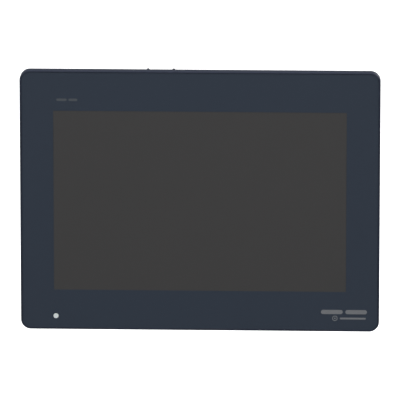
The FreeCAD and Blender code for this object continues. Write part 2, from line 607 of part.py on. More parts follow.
def usb_ports():
    """Two USB type A sockets: a steel shell round a plastic tongue."""
    ports = []
    for x in USB_X:
        y0 = PARTS_Y + 0.6
        shell = block(x - 6.6, x + 6.6, y0, y0 + 6.1, BOX_LOW - 0.4, BOX_LOW + 14.0)
        bore = block(x - 6.25, x + 6.25, y0 + 0.35, y0 + 5.6, BOX_LOW - 0.4, BOX_LOW + 12.0)
        tongue = block(x - 5.6, x + 5.6, y0 + 3.3, y0 + 5.1, BOX_LOW + 1.0, BOX_LOW + 12.5)
        foot = block(x - 6.6, x + 6.6, PARTS_Y, y0 + 0.2, BOX_LOW + 4.0, BOX_LOW + 14.0)
        ports.append(joined([shell.cut(bore), tongue, foot]))
    return group(ports)


def serial_port():
    """Nine-pin serial plug: D-shaped shell, flange, pins and two threaded posts."""
    y, floor = PARTS_Y + 6.2, BOX_LOW + BOX_WALL

    def d_shape(width, height, z0, z1):
        slant = 0.176 * height / 2
        half_w, half_h = width / 2, height / 2
        corners = [
            V(SERIAL_X - half_w + slant, y - half_h, z0), V(SERIAL_X + half_w - slant, y - half_h, z0),
            V(SERIAL_X + half_w + slant, y + half_h, z0), V(SERIAL_X - half_w - slant, y + half_h, z0),
        ]
        prism = Part.Face(Part.makePolygon(corners + corners[:1])).extrude(V(0, 0, z1 - z0))
        return prism.makeFillet(1.4, edges_along(prism, V(0, 0, 1)))

    flange = block(SERIAL_X - 15.4, SERIAL_X + 15.4, y - 6.2, y + 6.2, floor, floor + 1.0)
    shell = d_shape(16.6, 8.4, BOX_LOW - 4.0, floor + 1.0)
    shell = shell.cut(d_shape(15.8, 7.6, BOX_LOW - 4.0, floor + 0.6))
    core = block(SERIAL_X - 9.4, SERIAL_X + 9.4, y - 5.4, y + 5.4, floor + 1.0, floor + 9.0)
    pins = [rod_z(0.5, px, y + 1.42, BOX_LOW - 2.6, floor + 1.0) for px in spread(5, 2.77, SERIAL_X)]
    pins += [rod_z(0.5, px, y - 1.42, BOX_LOW - 2.6, floor + 1.0) for px in spread(4, 2.77, SERIAL_X)]
    posts = []
    for px in (SERIAL_X - 12.5, SERIAL_X + 12.5):
        hexagon = [V(px + 2.6 * math.cos(a), y + 2.6 * math.sin(a), BOX_LOW - 5.0)
                   for a in [math.radians(60 * k) for k in range(7)]]
        post = Part.Face(Part.makePolygon(hexagon)).extrude(V(0, 0, 5.0))
        posts.append(joined([post.cut(rod_z(1.2, px, y, BOX_LOW - 5.0, BOX_LOW - 0.5)),
                             rod_z(1.4, px, y, BOX_LOW - 0.2, floor + 0.2)]))
    return joined([flange, shell, core] + pins + posts)


def power_header():
    """Fixed half of the supply connector: a tub with three square pins."""
    x0, x1 = POWER_X - 8.8, POWER_X + 8.8
    tub = block(x0, x1, PARTS_Y, PARTS_Y + 11.2, BOX_LOW + 0.5, BOX_LOW + 13.0)
    cavity = block(x0 + 0.8, x1 - 0.8, POWER_Y - 4.5, POWER_Y + 4.5, BOX_LOW + 0.5, BOX_LOW + 10.0)
    pins = [
        block(px - 0.5, px + 0.5, POWER_Y - 0.5, POWER_Y + 0.5, BOX_LOW + 2.5, BOX_LOW + 10.5)
        for px in spread(3, POLE_PITCH, POWER_X)
    ]
    return joined([tub.cut(cavity)] + pins)


PLUG_LOW, PLUG_TOP, PLUG_Y, PLUG_REAR_Y = BOX_LOW - 13.0, BOX_LOW, POWER_Y - 5.8, POWER_Y + 6.2
WIRE_R, WIRE_DEPTH = 1.6, 8.0
PLUG_SCREW_Z = BOX_LOW - 6.5


def power_plug():
    """Pull-off half of the supply connector, with three wire holes below and three screw holes behind."""
    nose = block(POWER_X - 7.7, POWER_X + 7.7, POWER_Y - 4.2, POWER_Y + 4.2, PLUG_TOP - 0.5, BOX_LOW + 9.0)
    body = block(POWER_X - 9.0, POWER_X + 9.0, PLUG_Y, PLUG_REAR_Y, PLUG_LOW, PLUG_TOP)
    body = body.makeFillet(0.8, edges_along(body, V(0, 0, 1)))
    cuts = []
    for x in spread(3, POLE_PITCH, POWER_X):
        cuts.append(rod_z(WIRE_R, x, POWER_Y - 1.6, PLUG_LOW, PLUG_LOW + WIRE_DEPTH))
        cuts.append(rod_y(1.9, x, PLUG_SCREW_Z, PLUG_REAR_Y - 3.4, PLUG_REAR_Y))
        cuts.append(block(x - 0.8, x + 0.8, POWER_Y - 0.8, POWER_Y + 0.8, BOX_LOW + 1.8, BOX_LOW + 9.0))
    return joined([nose, body]).cut(cuts)


def plug_screws():
    """Clamping screws of the three supply wires, slotted."""
    screws = []
    for x in spread(3, POLE_PITCH, POWER_X):
        head = rod_y(1.85, x, PLUG_SCREW_Z, PLUG_REAR_Y - 3.4, PLUG_REAR_Y - 1.4)
        slot = block(x - 1.9, x + 1.9, PLUG_REAR_Y - 2.2, PLUG_REAR_Y - 1.4, PLUG_SCREW_Z - 0.3, PLUG_SCREW_Z + 0.3)
        screws.append(head.cut(slot))
    return group(screws)


def dip_switch():
    """Body of the four-way setting switch, with a window for each slider."""
    low, high = DIP_Z - 6.2, DIP_Z + 6.2
    body = block(DIP_FACE_X - 8.5, DIP_FACE_X, DIP_Y, DIP_REAR_Y, low, high)
    windows = [
        block(DIP_FACE_X - 1.5, DIP_FACE_X, DIP_Y + 1.4, DIP_REAR_Y - 1.4, z - 0.75, z + 0.75)
        for z in spread(4, DIP_PITCH, DIP_Z)
    ]
    return body.cut(windows)


def dip_slider(index):
    """One slider, at the front end of its window."""
    z = spread(4, DIP_PITCH, DIP_Z)[index]
    y0 = DIP_Y + 1.5
    return block(DIP_FACE_X - 1.4, DIP_FACE_X + 0.9, y0, y0 + 1.3, z - 0.65, z + 0.65)


def reset_button():
    """Plunger of the reset switch."""
    cap = rod_x(1.5, RESET_Y, RESET_Z, 92.2, 97.6)
    return cap.makeFillet(0.3, [e for e in cap.Edges if abs(e.BoundBox.XMin - 97.6) < 1e-4])


def card_socket():
    """Spring-ejecting socket for the memory card, a folded steel shell on the board."""
    shell = block(67.0, 94.0, PARTS_Y, PARTS_Y + 3.8, CARD_Z - 14.0, CARD_Z + 14.0)
    slot = block(67.0, 94.0, CARD_Y - 0.2, CARD_Y + CARD_T + 0.2, CARD_Z - CARD_H / 2 - 0.3, CARD_Z + CARD_H / 2 + 0.3)
    return shell.cut(slot)


def memory_card():
    """Memory card, with its cut corner leading."""
    low, high = CARD_Z - CARD_H / 2, CARD_Z + CARD_H / 2
    x0 = CARD_END_X - CARD_L
    outline = [V(x0, CARD_Y, low), V(CARD_END_X, CARD_Y, low), V(CARD_END_X, CARD_Y, high),
               V(x0 + 4, CARD_Y, high), V(x0, CARD_Y, high - 4)]
    return Part.Face(Part.makePolygon(outline + outline[:1])).extrude(V(0, CARD_T, 0))


def card_door():
    """Door over the card slot and the switches, with its hinge barrel and two stub pins."""
    half = BOX_W / 2
    low, high = DOOR_LOW + DOOR_GAP, DOOR_HIGH - DOOR_GAP
    leaf = block(half - 2.0, half, DOOR_Y + DOOR_GAP, HINGE_Y, low, high)
    barrel = rod_z(HINGE_R, HINGE_X, HINGE_Y, low, high)
    pins = rod_z(HINGE_PIN_R, HINGE_X, HINGE_Y, DOOR_LOW - HINGE_PIN_L, DOOR_HIGH + HINGE_PIN_L)
    notch = rod_z(5.0, half + 3.8, DOOR_Y + 2.0, CARD_Z - 22.0, CARD_Z - 6.0)
    return joined([leaf, barrel, pins]).cut(notch)


def backup_battery():
    """Coin cell that keeps the clock going."""
    return rod_y(10.0, 74.0, -8.0, PARTS_Y + 0.6, PARTS_Y + 3.8)


def box_screws():
    """Captive screws at the bottom of the box's four wells."""
    return group([
        pan_screw(x, z, WELL_FLOOR_Y, M3_HEAD_H, 15.0, M3_R - 0.02) for x, z in BOX_SCREW_AT
    ])


def earth_screw():
    """Earthing screw and washer under the box."""
    washer = rod_z(4.6, EARTH_X, POWER_Y, BOX_LOW - 0.9, BOX_LOW)
    head = rod_z(3.8, EARTH_X, POWER_Y, BOX_LOW - 3.4, BOX_LOW - 0.8)
    shank = rod_z(1.93, EARTH_X, POWER_Y, BOX_LOW - 1.0, BOX_LOW + 6.5)
    cross = [
        block(EARTH_X - a, EARTH_X + a, POWER_Y - b, POWER_Y + b, BOX_LOW - 3.4, BOX_LOW - 1.8)
        for a, b in ((2.6, 0.6), (0.6, 2.6))
    ]
    return joined([washer, head, shank]).cut(cross)


def rating_plate():
    """Blank plate let into the back of the box."""
    return slab(PLATE_W, PLATE_H, 1.3, BOX_REAR_Y - PLATE_T, BOX_REAR_Y, PLATE_X, PLATE_Z)


# --- Build --------------------------------------------------------------------------------------------------
SINGLE_PARTS = [
    front_bezel, installation_gasket, overlay_sheet, overlay_print, touch_film, touch_glass, touch_tail, dust_seal,
    lcd_front_frame, lcd_cell, diffuser_stack, light_guide, backlight_led_bar, lcd_rear_tray, lcd_ribbon,
    display_chassis, link_board, link_socket, link_plug, status_light_pipe, led_board, rear_case, case_screws,
    box_base, box_cover, main_board, board_standoffs, board_parts, heat_sink, lan_jacks, usb_ports, serial_port,
    power_header, power_plug, plug_screws, dip_switch, reset_button, card_socket, memory_card, card_door,
    backup_battery, box_screws, earth_screw, rating_plate,
]


def all_parts():
    """Every sub-part's name and shape."""
    named = {make.__name__: make() for make in SINGLE_PARTS}
    for number, (side, z) in enumerate(CLAMP_SIDES, start=1):
        named[f"clamp_bracket_{number}"] = clamp_bracket(side, z)
        named[f"clamp_foot_{number}"] = clamp_foot(side, z)
        named[f"clamp_screw_{number}"] = clamp_screw(side, z)
    for index in range(4):
        named[f"dip_slider_{index + 1}"] = dip_slider(index)
    return named


def main():
    """Writes one STEP file for each sub-part."""
    os.makedirs("parts", exist_ok=True)
    for name, shape in all_parts().items():
        if not shape.isValid() or not shape.Solids:
            raise ValueError(f"{name} is not a valid solid")
        shape.exportStep(f"parts/{name}.step")
        print(f"{name}: {len(shape.Solids)} solid(s), {shape.Volume / 1000:.2f} cm3")


main()
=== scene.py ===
"""Looks of a door-mounted operator panel: its finishes, its fine pieces, the light and the camera.

Lengths are in metres. X runs to the operator's right, Y away from the operator and Z up.
"""

import logging
import math
from dataclasses import dataclass
from enum import Enum
from typing import Optional, Sequence, Union

import bmesh
import bpy
import numpy as np
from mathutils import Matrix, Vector


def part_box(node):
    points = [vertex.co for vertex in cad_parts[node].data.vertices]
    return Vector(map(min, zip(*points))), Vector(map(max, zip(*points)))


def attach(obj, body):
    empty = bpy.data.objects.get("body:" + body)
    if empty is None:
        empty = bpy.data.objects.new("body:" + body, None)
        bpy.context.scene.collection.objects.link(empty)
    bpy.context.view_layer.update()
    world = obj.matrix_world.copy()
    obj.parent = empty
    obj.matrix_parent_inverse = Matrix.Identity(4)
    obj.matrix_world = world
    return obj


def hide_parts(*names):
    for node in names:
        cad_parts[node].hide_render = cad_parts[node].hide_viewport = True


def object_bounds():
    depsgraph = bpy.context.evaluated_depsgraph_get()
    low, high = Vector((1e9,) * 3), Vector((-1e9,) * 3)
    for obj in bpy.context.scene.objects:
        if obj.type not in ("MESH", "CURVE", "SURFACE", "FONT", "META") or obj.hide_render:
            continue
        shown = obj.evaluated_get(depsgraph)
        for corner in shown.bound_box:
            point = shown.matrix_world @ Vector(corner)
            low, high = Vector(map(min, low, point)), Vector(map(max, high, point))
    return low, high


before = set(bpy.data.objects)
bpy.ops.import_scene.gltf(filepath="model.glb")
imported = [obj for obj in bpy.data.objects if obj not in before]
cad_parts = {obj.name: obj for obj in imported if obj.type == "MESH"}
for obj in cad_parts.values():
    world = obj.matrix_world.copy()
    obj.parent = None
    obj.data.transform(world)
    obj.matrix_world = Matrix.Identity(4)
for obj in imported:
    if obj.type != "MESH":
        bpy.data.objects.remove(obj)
CAD_LOW, CAD_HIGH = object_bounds()

LOG = logging.getLogger("panel")
MM = 0.001
QUARTER = math.pi / 2
TINY = 1e-6
MERGE_WITHIN = 1e-7
Colour = tuple[float, float, float]
Array = np.ndarray
Value = Union[float, tuple, bpy.types.NodeSocket]


# ---------------------------------------------------------------------------------------------
# Surfaces
# ---------------------------------------------------------------------------------------------
class Axis(Enum):
    """The axis that a stack of outlines runs along."""

    X = "x"
    Y = "y"
    Z = "z"

    def place(self, across: Array, up: Array, along: Array) -> Array:
        """Points from two places in the outline's plane, (Y, Z), (X, Z) or (X, Y), and one along the axis."""
        order = {Axis.X: (along, across, up), Axis.Y: (across, along, up), Axis.Z: (across, up, along)}
        return np.stack(np.broadcast_arrays(*order[self]), axis=-1)


@dataclass
class Shell:
    """One closed surface: its points, its four-cornered faces and its many-cornered ends."""

    points: Array
    quads: Array
    ends: Array


def grid_faces(rows: int, columns: int, closed: bool) -> Array:
    """Faces of a grid whose columns run round in a loop.

    Args:
        rows: how many outlines.
        columns: how many points in each.
        closed: whether the last outline joins the first.

    Returns:
        Faces by four corner numbers.
    """
    row = np.arange(rows if closed else rows - 1)[:, None]
    column = np.arange(columns)[None, :]
    next_row, next_column = (row + 1) % rows, (column + 1) % columns
    corners = [row * columns + column, row * columns + next_column,
               next_row * columns + next_column, next_row * columns + column]
    return np.stack(corners, axis=-1).reshape(-1, 4)


def loft(rings: Array, closed: bool = False) -> Shell:
    """Surface through a stack of outlines, with flat ends unless the stack is closed on itself.

    Args:
        rings: outlines by points by three coordinates.
        closed: whether the last outline joins the first.

    Returns:
        The shell.
    """
    rows, columns = rings.shape[:2]
    numbers = np.arange(rows * columns).reshape(rows, columns)
    ends = numbers[:0] if closed else numbers[[0, -1]]
    return Shell(rings.reshape(-1, 3), grid_faces(rows, columns, closed), ends)


def rounded(width: float, height: float, radius: float, steps: int = 10) -> Array:
    """Outline of a rectangle with round corners, about the origin.

    Formula: each corner is a quarter circle about the point one radius in from both sides.

    Args:
        width: whole width.
        height: whole height.
        radius: corner radius.
        steps: points in each corner.

    Returns:
        Points by two coordinates.
    """
    radius = max(min(radius, width / 2 - TINY, height / 2 - TINY), TINY)
    quarter = np.tile(np.linspace(0.0, QUARTER, steps), 4)
    angle = quarter + np.repeat(np.arange(4) * QUARTER, steps)
    side_x = np.repeat([1.0, -1.0, -1.0, 1.0], steps) * (width / 2 - radius)
    side_z = np.repeat([1.0, 1.0, -1.0, -1.0], steps) * (height / 2 - radius)
    return np.column_stack([side_x + radius * np.cos(angle), side_z + radius * np.sin(angle)])


def circle(radius: float, steps: int) -> Array:
    """Points round a circle."""
    angle = np.linspace(0.0, 2 * math.pi, steps, endpoint=False)
    return radius * np.column_stack([np.cos(angle), np.sin(angle)])


def cross(arm: float, half: float, steps: int) -> Array:
    """Outline of a plus sign, as the further of two rectangles in each direction.

    Args:
        arm: from the centre to the end of an arm.
        half: half the arm's width.
        steps: points round the outline.

    Returns:
        Points by two coordinates.
    """
    unit = circle(1.0, steps)
    c, s = np.maximum(np.abs(unit), TINY).T
    reach = np.maximum(np.minimum(arm / c, half / s), np.minimum(half / c, arm / s))
    return reach[:, None] * unit


def stack(axis: Axis, outlines: Sequence[Array], along: Sequence[float], centre: tuple[float, float],
          closed: bool = False) -> Shell:
    """Surface through outlines set along an axis.

    Args:
        axis: which way the stack runs.
        outlines: one outline for each place.
        along: the places.
        centre: where the outlines' own centre stands in their plane.
        closed: whether the last outline joins the first.

    Returns:
        The shell.
    """
    flat = np.stack(list(outlines)) + np.array(centre)
    places = np.asarray(along, float)[:, None]
    return loft(axis.place(flat[..., 0], flat[..., 1], np.broadcast_to(places, flat.shape[:2])), closed)


def soft_plate(width: float, height: float, radius: float, front: float, back: float, edge: float,
               centre: tuple[float, float] = (0.0, 0.0), axis: Axis = Axis.Y, steps: int = 10) -> Shell:
    """Plate whose front edge is rolled over.

    Formula: the outline shrinks by edge times (1 - sine) while it comes forward by edge times (1 - cosine).
    One more outline lies inside the flat front, so that the front stays flat in the light.

    Args:
        width: whole width.
        height: whole height.
        radius: corner radius.
        front: place of the front face along the axis.
        back: place of the back face.
        edge: radius of the rolled edge.
        centre: centre in the plate's plane.
        axis: the axis that the plate faces.
        steps: points in each corner.

    Returns:
        The shell.
    """
    turn = np.linspace(0.0, QUARTER, 5)
    insets = np.concatenate([[edge * 2], edge * (1 - np.sin(turn))])
    toward = 1.0 if back > front else -1.0
    along = [front] + list(front + toward * edge * (1 - np.cos(turn))) + [back]
    outlines = [rounded(width - 2 * i, height - 2 * i, radius - i, steps) for i in insets]
    return stack(axis, outlines + [outlines[-1]], along, centre)


def band(section: Array, width: float, height: float, radius: float, centre: tuple[float, float] = (0.0, 0.0),
         axis: Axis = Axis.Y, steps: int = 10) -> Shell:
    """A closed section carried round a rounded rectangle.

    Args:
        section: points by two values: how far inside the outline, and the place along the axis.
        width: whole width of the outline.
        height: whole height of it.
        radius: its corner radius.
        centre: centre of the outline.
        axis: the axis that the band faces.
        steps: points in each corner.

    Returns:
        The shell, closed round its section.
    """
    outlines = [rounded(width - 2 * i, height - 2 * i, radius - i, steps) for i in section[:, 0]]
    return stack(axis, outlines, section[:, 1], centre, closed=True)


def wire(route: Array, width: float, thick: float, x: float) -> Shell:
    """Flat wire that bends in a plane of constant X.

    Args:
        route: points by (Y, Z) along the wire's middle.
        width: its width along X.
        thick: its thickness.
        x: the place of its middle.

    Returns:
        The shell.
    """
    run = np.gradient(route, axis=0)
    run /= np.linalg.norm(run, axis=1, keepdims=True)
    normal = np.column_stack([-run[:, 1], run[:, 0]]) * thick / 2
    sides = np.array([[-1, -1], [1, -1], [1, 1], [-1, 1]], float)
    flat = route[:, None, :] + normal[:, None, :] * sides[None, :, 1:]
    across = np.broadcast_to(x + sides[None, :, 0] * width / 2, flat.shape[:2])
    return loft(np.stack([across, flat[..., 0], flat[..., 1]], axis=-1))


def make_piece(name: str, shells: Sequence[Shell], material: bpy.types.Material, body: str,
               stands_for: Sequence[str] = (), crease: float = 35.0) -> bpy.types.Object:
    """A piece of the object from its shells, dressed and riding on its body.

    Args:
        name: the piece's name.
        shells: its closed surfaces.
        material: its finish.
        body: the CAD body that it rides on.
        stands_for: CAD nodes that it replaces.
        crease: edges sharper than this many degrees stay sharp.

    Returns:
        The new object.
    """
    points = np.concatenate([shell.points for shell in shells])
    starts = np.cumsum([0] + [len(shell.points) for shell in shells])
    faces = []
    for start, shell in zip(starts, shells):
        faces += (shell.quads + start).tolist() + (shell.ends + start).tolist()
    mesh = bpy.data.meshes.new(name)
    mesh.from_pydata(points.tolist(), [], faces)
    work = bmesh.new()
    work.from_mesh(mesh)
    bmesh.ops.remove_doubles(work, verts=work.verts, dist=MERGE_WITHIN)
    bmesh.ops.recalc_face_normals(work, faces=work.faces)
    work.to_mesh(mesh)
    work.free()
    mesh.shade_smooth()
    mesh.set_sharp_from_angle(angle=math.radians(crease))
    mesh.materials.append(material)
    made = bpy.data.objects.new(name, mesh)
    bpy.context.scene.collection.objects.link(made)
    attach(made, body)
    if stands_for:
        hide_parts(*stands_for)
    LOG.info("piece %s: %d faces on %s", name, len(mesh.polygons), body)
    return made


def dress(material: bpy.types.Material, *nodes: str) -> None:
    """Gives CAD nodes their finish.

    Args:
        material: the finish.
        nodes: the nodes' names.
    """
    for node in nodes:
        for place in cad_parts[node].material_slots:
            place.material = material
        LOG.info("node %s: %s", node, material.name)


# ---------------------------------------------------------------------------------------------
# Node trees
# ---------------------------------------------------------------------------------------------
class Tree:
    """Short way to write a shader's nodes."""

    def __init__(self, tree: bpy.types.NodeTree) -> None:
        """Starts from an empty tree."""
        self.tree = tree
        tree.nodes.clear()

    def add(self, kind: str, settings: Optional[dict] = None, **inputs: Value) -> bpy.types.Node:
        """One node.

        Args:
            kind: the node's type, without its Shader prefix.
            settings: properties of the node.
            inputs: values or sockets by input name, with _ for a space.

        Returns:
            The node.
        """
        node = self.tree.nodes.new(kind if kind.startswith("NodeGroup") else "ShaderNode" + kind)
        for key, value in (settings or {}).items():
            setattr(node, key, value)
        for key, value in inputs.items():
            self.set(node.inputs[key.replace("_", " ")], value)
        return node

    def set(self, socket: bpy.types.NodeSocket, value: Value) -> None:
        """Sets an input to a constant, or joins it to another node's output.

        Args:
            socket: the input.
            value: a number, a colour, a vector or an output.
        """
        if isinstance(value, bpy.types.NodeSocket):
            self.tree.links.new(value, socket)
        elif isinstance(value, tuple) and len(value) == 3 and socket.type == "RGBA":
            socket.default_value = (*value, 1.0)
        else:
            socket.default_value = value

    def sum(self, operation: str, first: Value, second: Value = 0.0, third: Value = 0.0,
            clamp: bool = False) -> bpy.types.NodeSocket:
        """A Math node's result.

        Args:
            operation: the Math node's operation.
            first: first value.
            second: second value.
            third: third value, where the operation has one.
            clamp: keeps the result between 0 and 1.

        Returns:
            The result's socket.
        """
        node = self.add("Math", {"operation": operation, "use_clamp": clamp})
        for socket, value in zip(node.inputs, (first, second, third)):
            self.set(socket, value)
        return node.outputs[0]

    def mix(self, share: Value, first: Value, second: Value, blend: str = "MIX") -> bpy.types.NodeSocket:
        """A colour between two colours.

        Args:
            share: how much of the second.
            first: first colour.
            second: second colour.
            blend: the Mix node's way of blending.

        Returns:
            The colour's socket.
        """
        node = self.add("Mix", {"data_type": "RGBA", "blend_type": blend})
        for socket, value in ((node.inputs[0], share), (node.inputs[6], first), (node.inputs[7], second)):
            self.set(socket, value)
        return node.outputs[2]

    def remap(self, value: Value, low: float, high: float, to_low: float,
              to_high: float) -> bpy.types.NodeSocket:
        """A value carried from one range to another, and kept inside it."""
        return self.add("MapRange", {"clamp": True}, Value=value, From_Min=low, From_Max=high,
                        To_Min=to_low, To_Max=to_high).outputs[0]

    def place(self, scale: tuple = (1.0, 1.0, 1.0)) -> bpy.types.NodeSocket:
        """Object coordinates, stretched by a scale for each axis."""
        mapping = self.add("Mapping", Vector=self.add("TexCoord").outputs["Object"], Scale=scale)
        return mapping.outputs[0]

    def noise(self, where: Value, scale: Value, detail: float = 2.0,
              roughness: float = 0.5) -> bpy.types.NodeSocket:
        """A Noise texture's value."""
        node = self.add("TexNoise", Vector=where, Scale=scale, Detail=detail, Roughness=roughness)
        return node.outputs["Fac"]


@dataclass(frozen=True)
class GroupPlan:
    """What a shader node group takes in and puts out."""

    name: str
    inputs: dict[str, float]
    outputs: tuple[str, ...]

    def open(self) -> tuple[Tree, bpy.types.Node, bpy.types.Node]:
        """Makes the group's empty tree with its sockets.

        Returns:
            The tree, its input node and its output node.
        """
        group = bpy.data.node_groups.new(self.name, "ShaderNodeTree")
        for name, default in self.inputs.items():
            socket = group.interface.new_socket(name=name, in_out="INPUT", socket_type="NodeSocketFloat")
            socket.default_value = default
        for name in self.outputs:
            group.interface.new_socket(name=name, in_out="OUTPUT", socket_type="NodeSocketFloat")
        tree = Tree(group)
        return tree, tree.add("NodeGroupInput"), tree.add("NodeGroupOutput")


class Effects:
    """Shader node groups that several finishes share."""

    def __init__(self) -> None:
        """Builds every group once."""
        self.grain = self._grain()
        self.rub = self._rub()
        self.dust = self._dust()
        self.haze = self._haze()
        self.drawn = self._drawn()

    @staticmethod
    def _grain() -> bpy.types.NodeTree:
        """Spark-eroded grain of a moulding: fine height, and a slow drift of shade.

        Formula: the height is a noise plus 0.6 of the distance in cells a little larger than its grains. The
        shade is one, plus a slow noise and the fine one about nothing, each times its share of the drift.

        Returns:
            The group.
        """
        plan = GroupPlan("moulded_grain", {"Grain": 0.0004, "Drift": 0.05}, ("Height", "Shade"))
        tree, given, out = plan.open()
        where = tree.place()
        scale = tree.sum("DIVIDE", 1.0, given.outputs["Grain"])
        fine = tree.noise(where, scale, 3.0, 0.6)
        pits = tree.add("TexVoronoi", {"feature": "F1"}, Vector=where, Scale=tree.sum("MULTIPLY", scale, 0.7))
        height = tree.sum("MULTIPLY_ADD", pits.outputs["Distance"], 0.6, fine)
        drift = tree.sum("SUBTRACT", tree.noise(where, 22.0, 3.0), 0.5)
        speck = tree.sum("SUBTRACT", fine, 0.5)
        shade = tree.sum("MULTIPLY_ADD", drift, given.outputs["Drift"], 1.0)
        shade = tree.sum("MULTIPLY_ADD", speck, tree.sum("MULTIPLY", given.outputs["Drift"], 0.8), shade)
        tree.set(out.inputs["Height"], height)
        tree.set(out.inputs["Shade"], shade)
        return tree.tree

    @staticmethod
    def _rub() -> bpy.types.NodeTree:
        """Where handling has polished or chipped an edge, broken up by noise.

        Formula: the mask rises as the cosine between the rounded normal and the true one falls from 0.97 to
        0.80, times a noise that is cut off below 0.42 and full above 0.62.

        Returns:
            The group.
        """
        plan = GroupPlan("edge_rub", {"Width": 0.0006, "Break": 260.0}, ("Mask",))
        tree, given, out = plan.open()
        bent = tree.add("Bevel", {"samples": 4}, Radius=given.outputs["Width"])
        flat = tree.add("NewGeometry")
        dot = tree.add("VectorMath", {"operation": "DOT_PRODUCT"})
        tree.set(dot.inputs[0], bent.outputs[0])
        tree.set(dot.inputs[1], flat.outputs["Normal"])
        edge = tree.remap(dot.outputs["Value"], 0.97, 0.80, 0.0, 1.0)
        worn = tree.remap(tree.noise(tree.place(), given.outputs["Break"], 4.0, 0.7), 0.42, 0.62, 0.0, 1.0)
        tree.set(out.inputs["Mask"], tree.sum("MULTIPLY", edge, worn))
        return tree.tree

    @staticmethod
    def _dust() -> bpy.types.NodeTree:
        """Dust that settles on what faces up.

        Formula: how far the normal's Z is past 0.35, times a patchy noise that never falls below a quarter.

        Returns:
            The group.
        """
        plan = GroupPlan("settled_dust", {"Amount": 0.3, "Patch": 90.0}, ("Mask",))
        tree, given, out = plan.open()
        facing = tree.add("SeparateXYZ", Vector=tree.add("NewGeometry").outputs["Normal"])
        up = tree.remap(facing.outputs["Z"], 0.35, 1.0, 0.0, 1.0)
        patch = tree.remap(tree.noise(tree.place(), given.outputs["Patch"], 5.0, 0.65), 0.35, 0.75, 0.25, 1.0)
        both = tree.sum("MULTIPLY", up, patch)
        tree.set(out.inputs["Mask"], tree.sum("MULTIPLY", both, given.outputs["Amount"], clamp=True))
        return tree.tree

    @staticmethod
    def _haze() -> bpy.types.NodeTree:
        """Slow and faint change of gloss, as wiping leaves it.

        Formula: the level plus the swing times a noise about nothing, squeezed along Z.

        Returns:
            The group.
        """
        plan = GroupPlan("wiping_haze", {"Patch": 14.0, "Level": 0.4, "Swing": 0.06}, ("Roughness",))
        tree, given, out = plan.open()
        soft = tree.noise(tree.place((1.0, 1.0, 2.6)), given.outputs["Patch"], 4.0, 0.6)
        swing = tree.sum("MULTIPLY", tree.sum("SUBTRACT", soft, 0.5), given.outputs["Swing"])
        tree.set(out.inputs["Roughness"], tree.sum("ADD", swing, given.outputs["Level"], clamp=True))
        return tree.tree

    @staticmethod
    def _drawn() -> bpy.types.NodeTree:
        """Fine lines of rolled or drawn metal along X, with a cloudy plating over them.

        Formula: the lines are a noise drawn out 25 times along X, and the cloud is a noise about nothing.

        Returns:
            The group.
        """
        plan = GroupPlan("drawn_metal", {"Line": 900.0, "Cloud": 60.0}, ("Height", "Cloud"))
        tree, given, out = plan.open()
        lines = tree.noise(tree.place((0.04, 1.0, 1.0)), given.outputs["Line"], 2.0, 0.6)
        cloud = tree.noise(tree.place(), given.outputs["Cloud"], 4.0, 0.6)
        tree.set(out.inputs["Height"], lines)
        tree.set(out.inputs["Cloud"], tree.sum("SUBTRACT", cloud, 0.5))
        return tree.tree


# ---------------------------------------------------------------------------------------------
# Finishes
# ---------------------------------------------------------------------------------------------
DUST_COLOUR: Colour = (0.36, 0.34, 0.31)


class Bench:
    """A material in the making: its tree, its Principled shader and the shared effects."""

    def __init__(self, name: str, colour: Colour, roughness: float, effects: Effects) -> None:
        """Starts a material with a Principled shader joined to its output.

        Args:
            name: the finish's name.
            colour: its plain colour.
            roughness: its plain roughness.
            effects: the shared node groups.
        """
        self.effects = effects
        self.material = bpy.data.materials.new(f"{name}_finish")
        self.material.use_nodes = True
        self.material.diffuse_color = (*colour, 1.0)
        self.tree = Tree(self.material.node_tree)
        self.shader = self.tree.add("BsdfPrincipled", Base_Color=colour, Roughness=roughness)
        self.tree.set(self.tree.add("OutputMaterial").inputs["Surface"], self.shader.outputs[0])

    def give(self, **inputs: Value) -> None:
        """Sets the shader's inputs by name, with _ for a space."""
        for name, value in inputs.items():
            self.tree.set(self.shader.inputs[name.replace("_", " ")], value)

    def use(self, group: bpy.types.NodeTree, **inputs: float) -> bpy.types.Node:
        """Places a shared group with this material's own values."""
        return self.tree.add("Group", {"node_tree": group}, **inputs)

    def grain(self, size: float, drift: float) -> bpy.types.Node:
        """The moulded grain, with its size in metres."""
        return self.use(self.effects.grain, Grain=size, Drift=drift)

    def haze(self, **inputs: float) -> bpy.types.NodeSocket:
        """A roughness that wiping has varied."""
        return self.use(self.effects.haze, **inputs).outputs["Roughness"]

    def shaded(self, colour: Value, shade: Value) -> bpy.types.NodeSocket:
        """A colour multiplied by a shade."""
        return self.tree.mix(1.0, colour, shade, "MULTIPLY")

    def rubbed(self, rub: Value, share: float, colour: Value, bare: Colour) -> bpy.types.NodeSocket:
        """A colour that gives way to another where an edge is rubbed."""
        return self.tree.mix(self.tree.sum("MULTIPLY", rub, share), colour, bare)

    def dusted(self, colour: Value, amount: float) -> bpy.types.NodeSocket:
        """A colour with dust on what faces up."""
        mask = self.use(self.effects.dust, Amount=amount).outputs["Mask"]
        return self.tree.mix(mask, colour, DUST_COLOUR)

    def bump(self, height: Value, depth: float, strength: float = 0.5) -> None:
        """Bends the shader's normal by a height, with its depth in metres."""
        node = self.tree.add("Bump", Height=height, Distance=depth, Strength=strength)
        self.give(Normal=node.outputs[0])


@dataclass(frozen=True)
class Finish:
    """What every finish has."""

    name: str
    colour: Colour
    roughness: float = 0.5

    def make(self, effects: Effects) -> bpy.types.Material:
        """Makes the finish's material.

        Args:
            effects: the shared node groups.

        Returns:
            The material.
        """
        bench = Bench(self.name, self.colour, self.roughness, effects)
        self.apply(bench, bench.tree)
        return bench.material

    def apply(self, bench: Bench, tree: Tree) -> None:
        """Joins the shared effects to the shader, in each finish's own way."""
        raise NotImplementedError


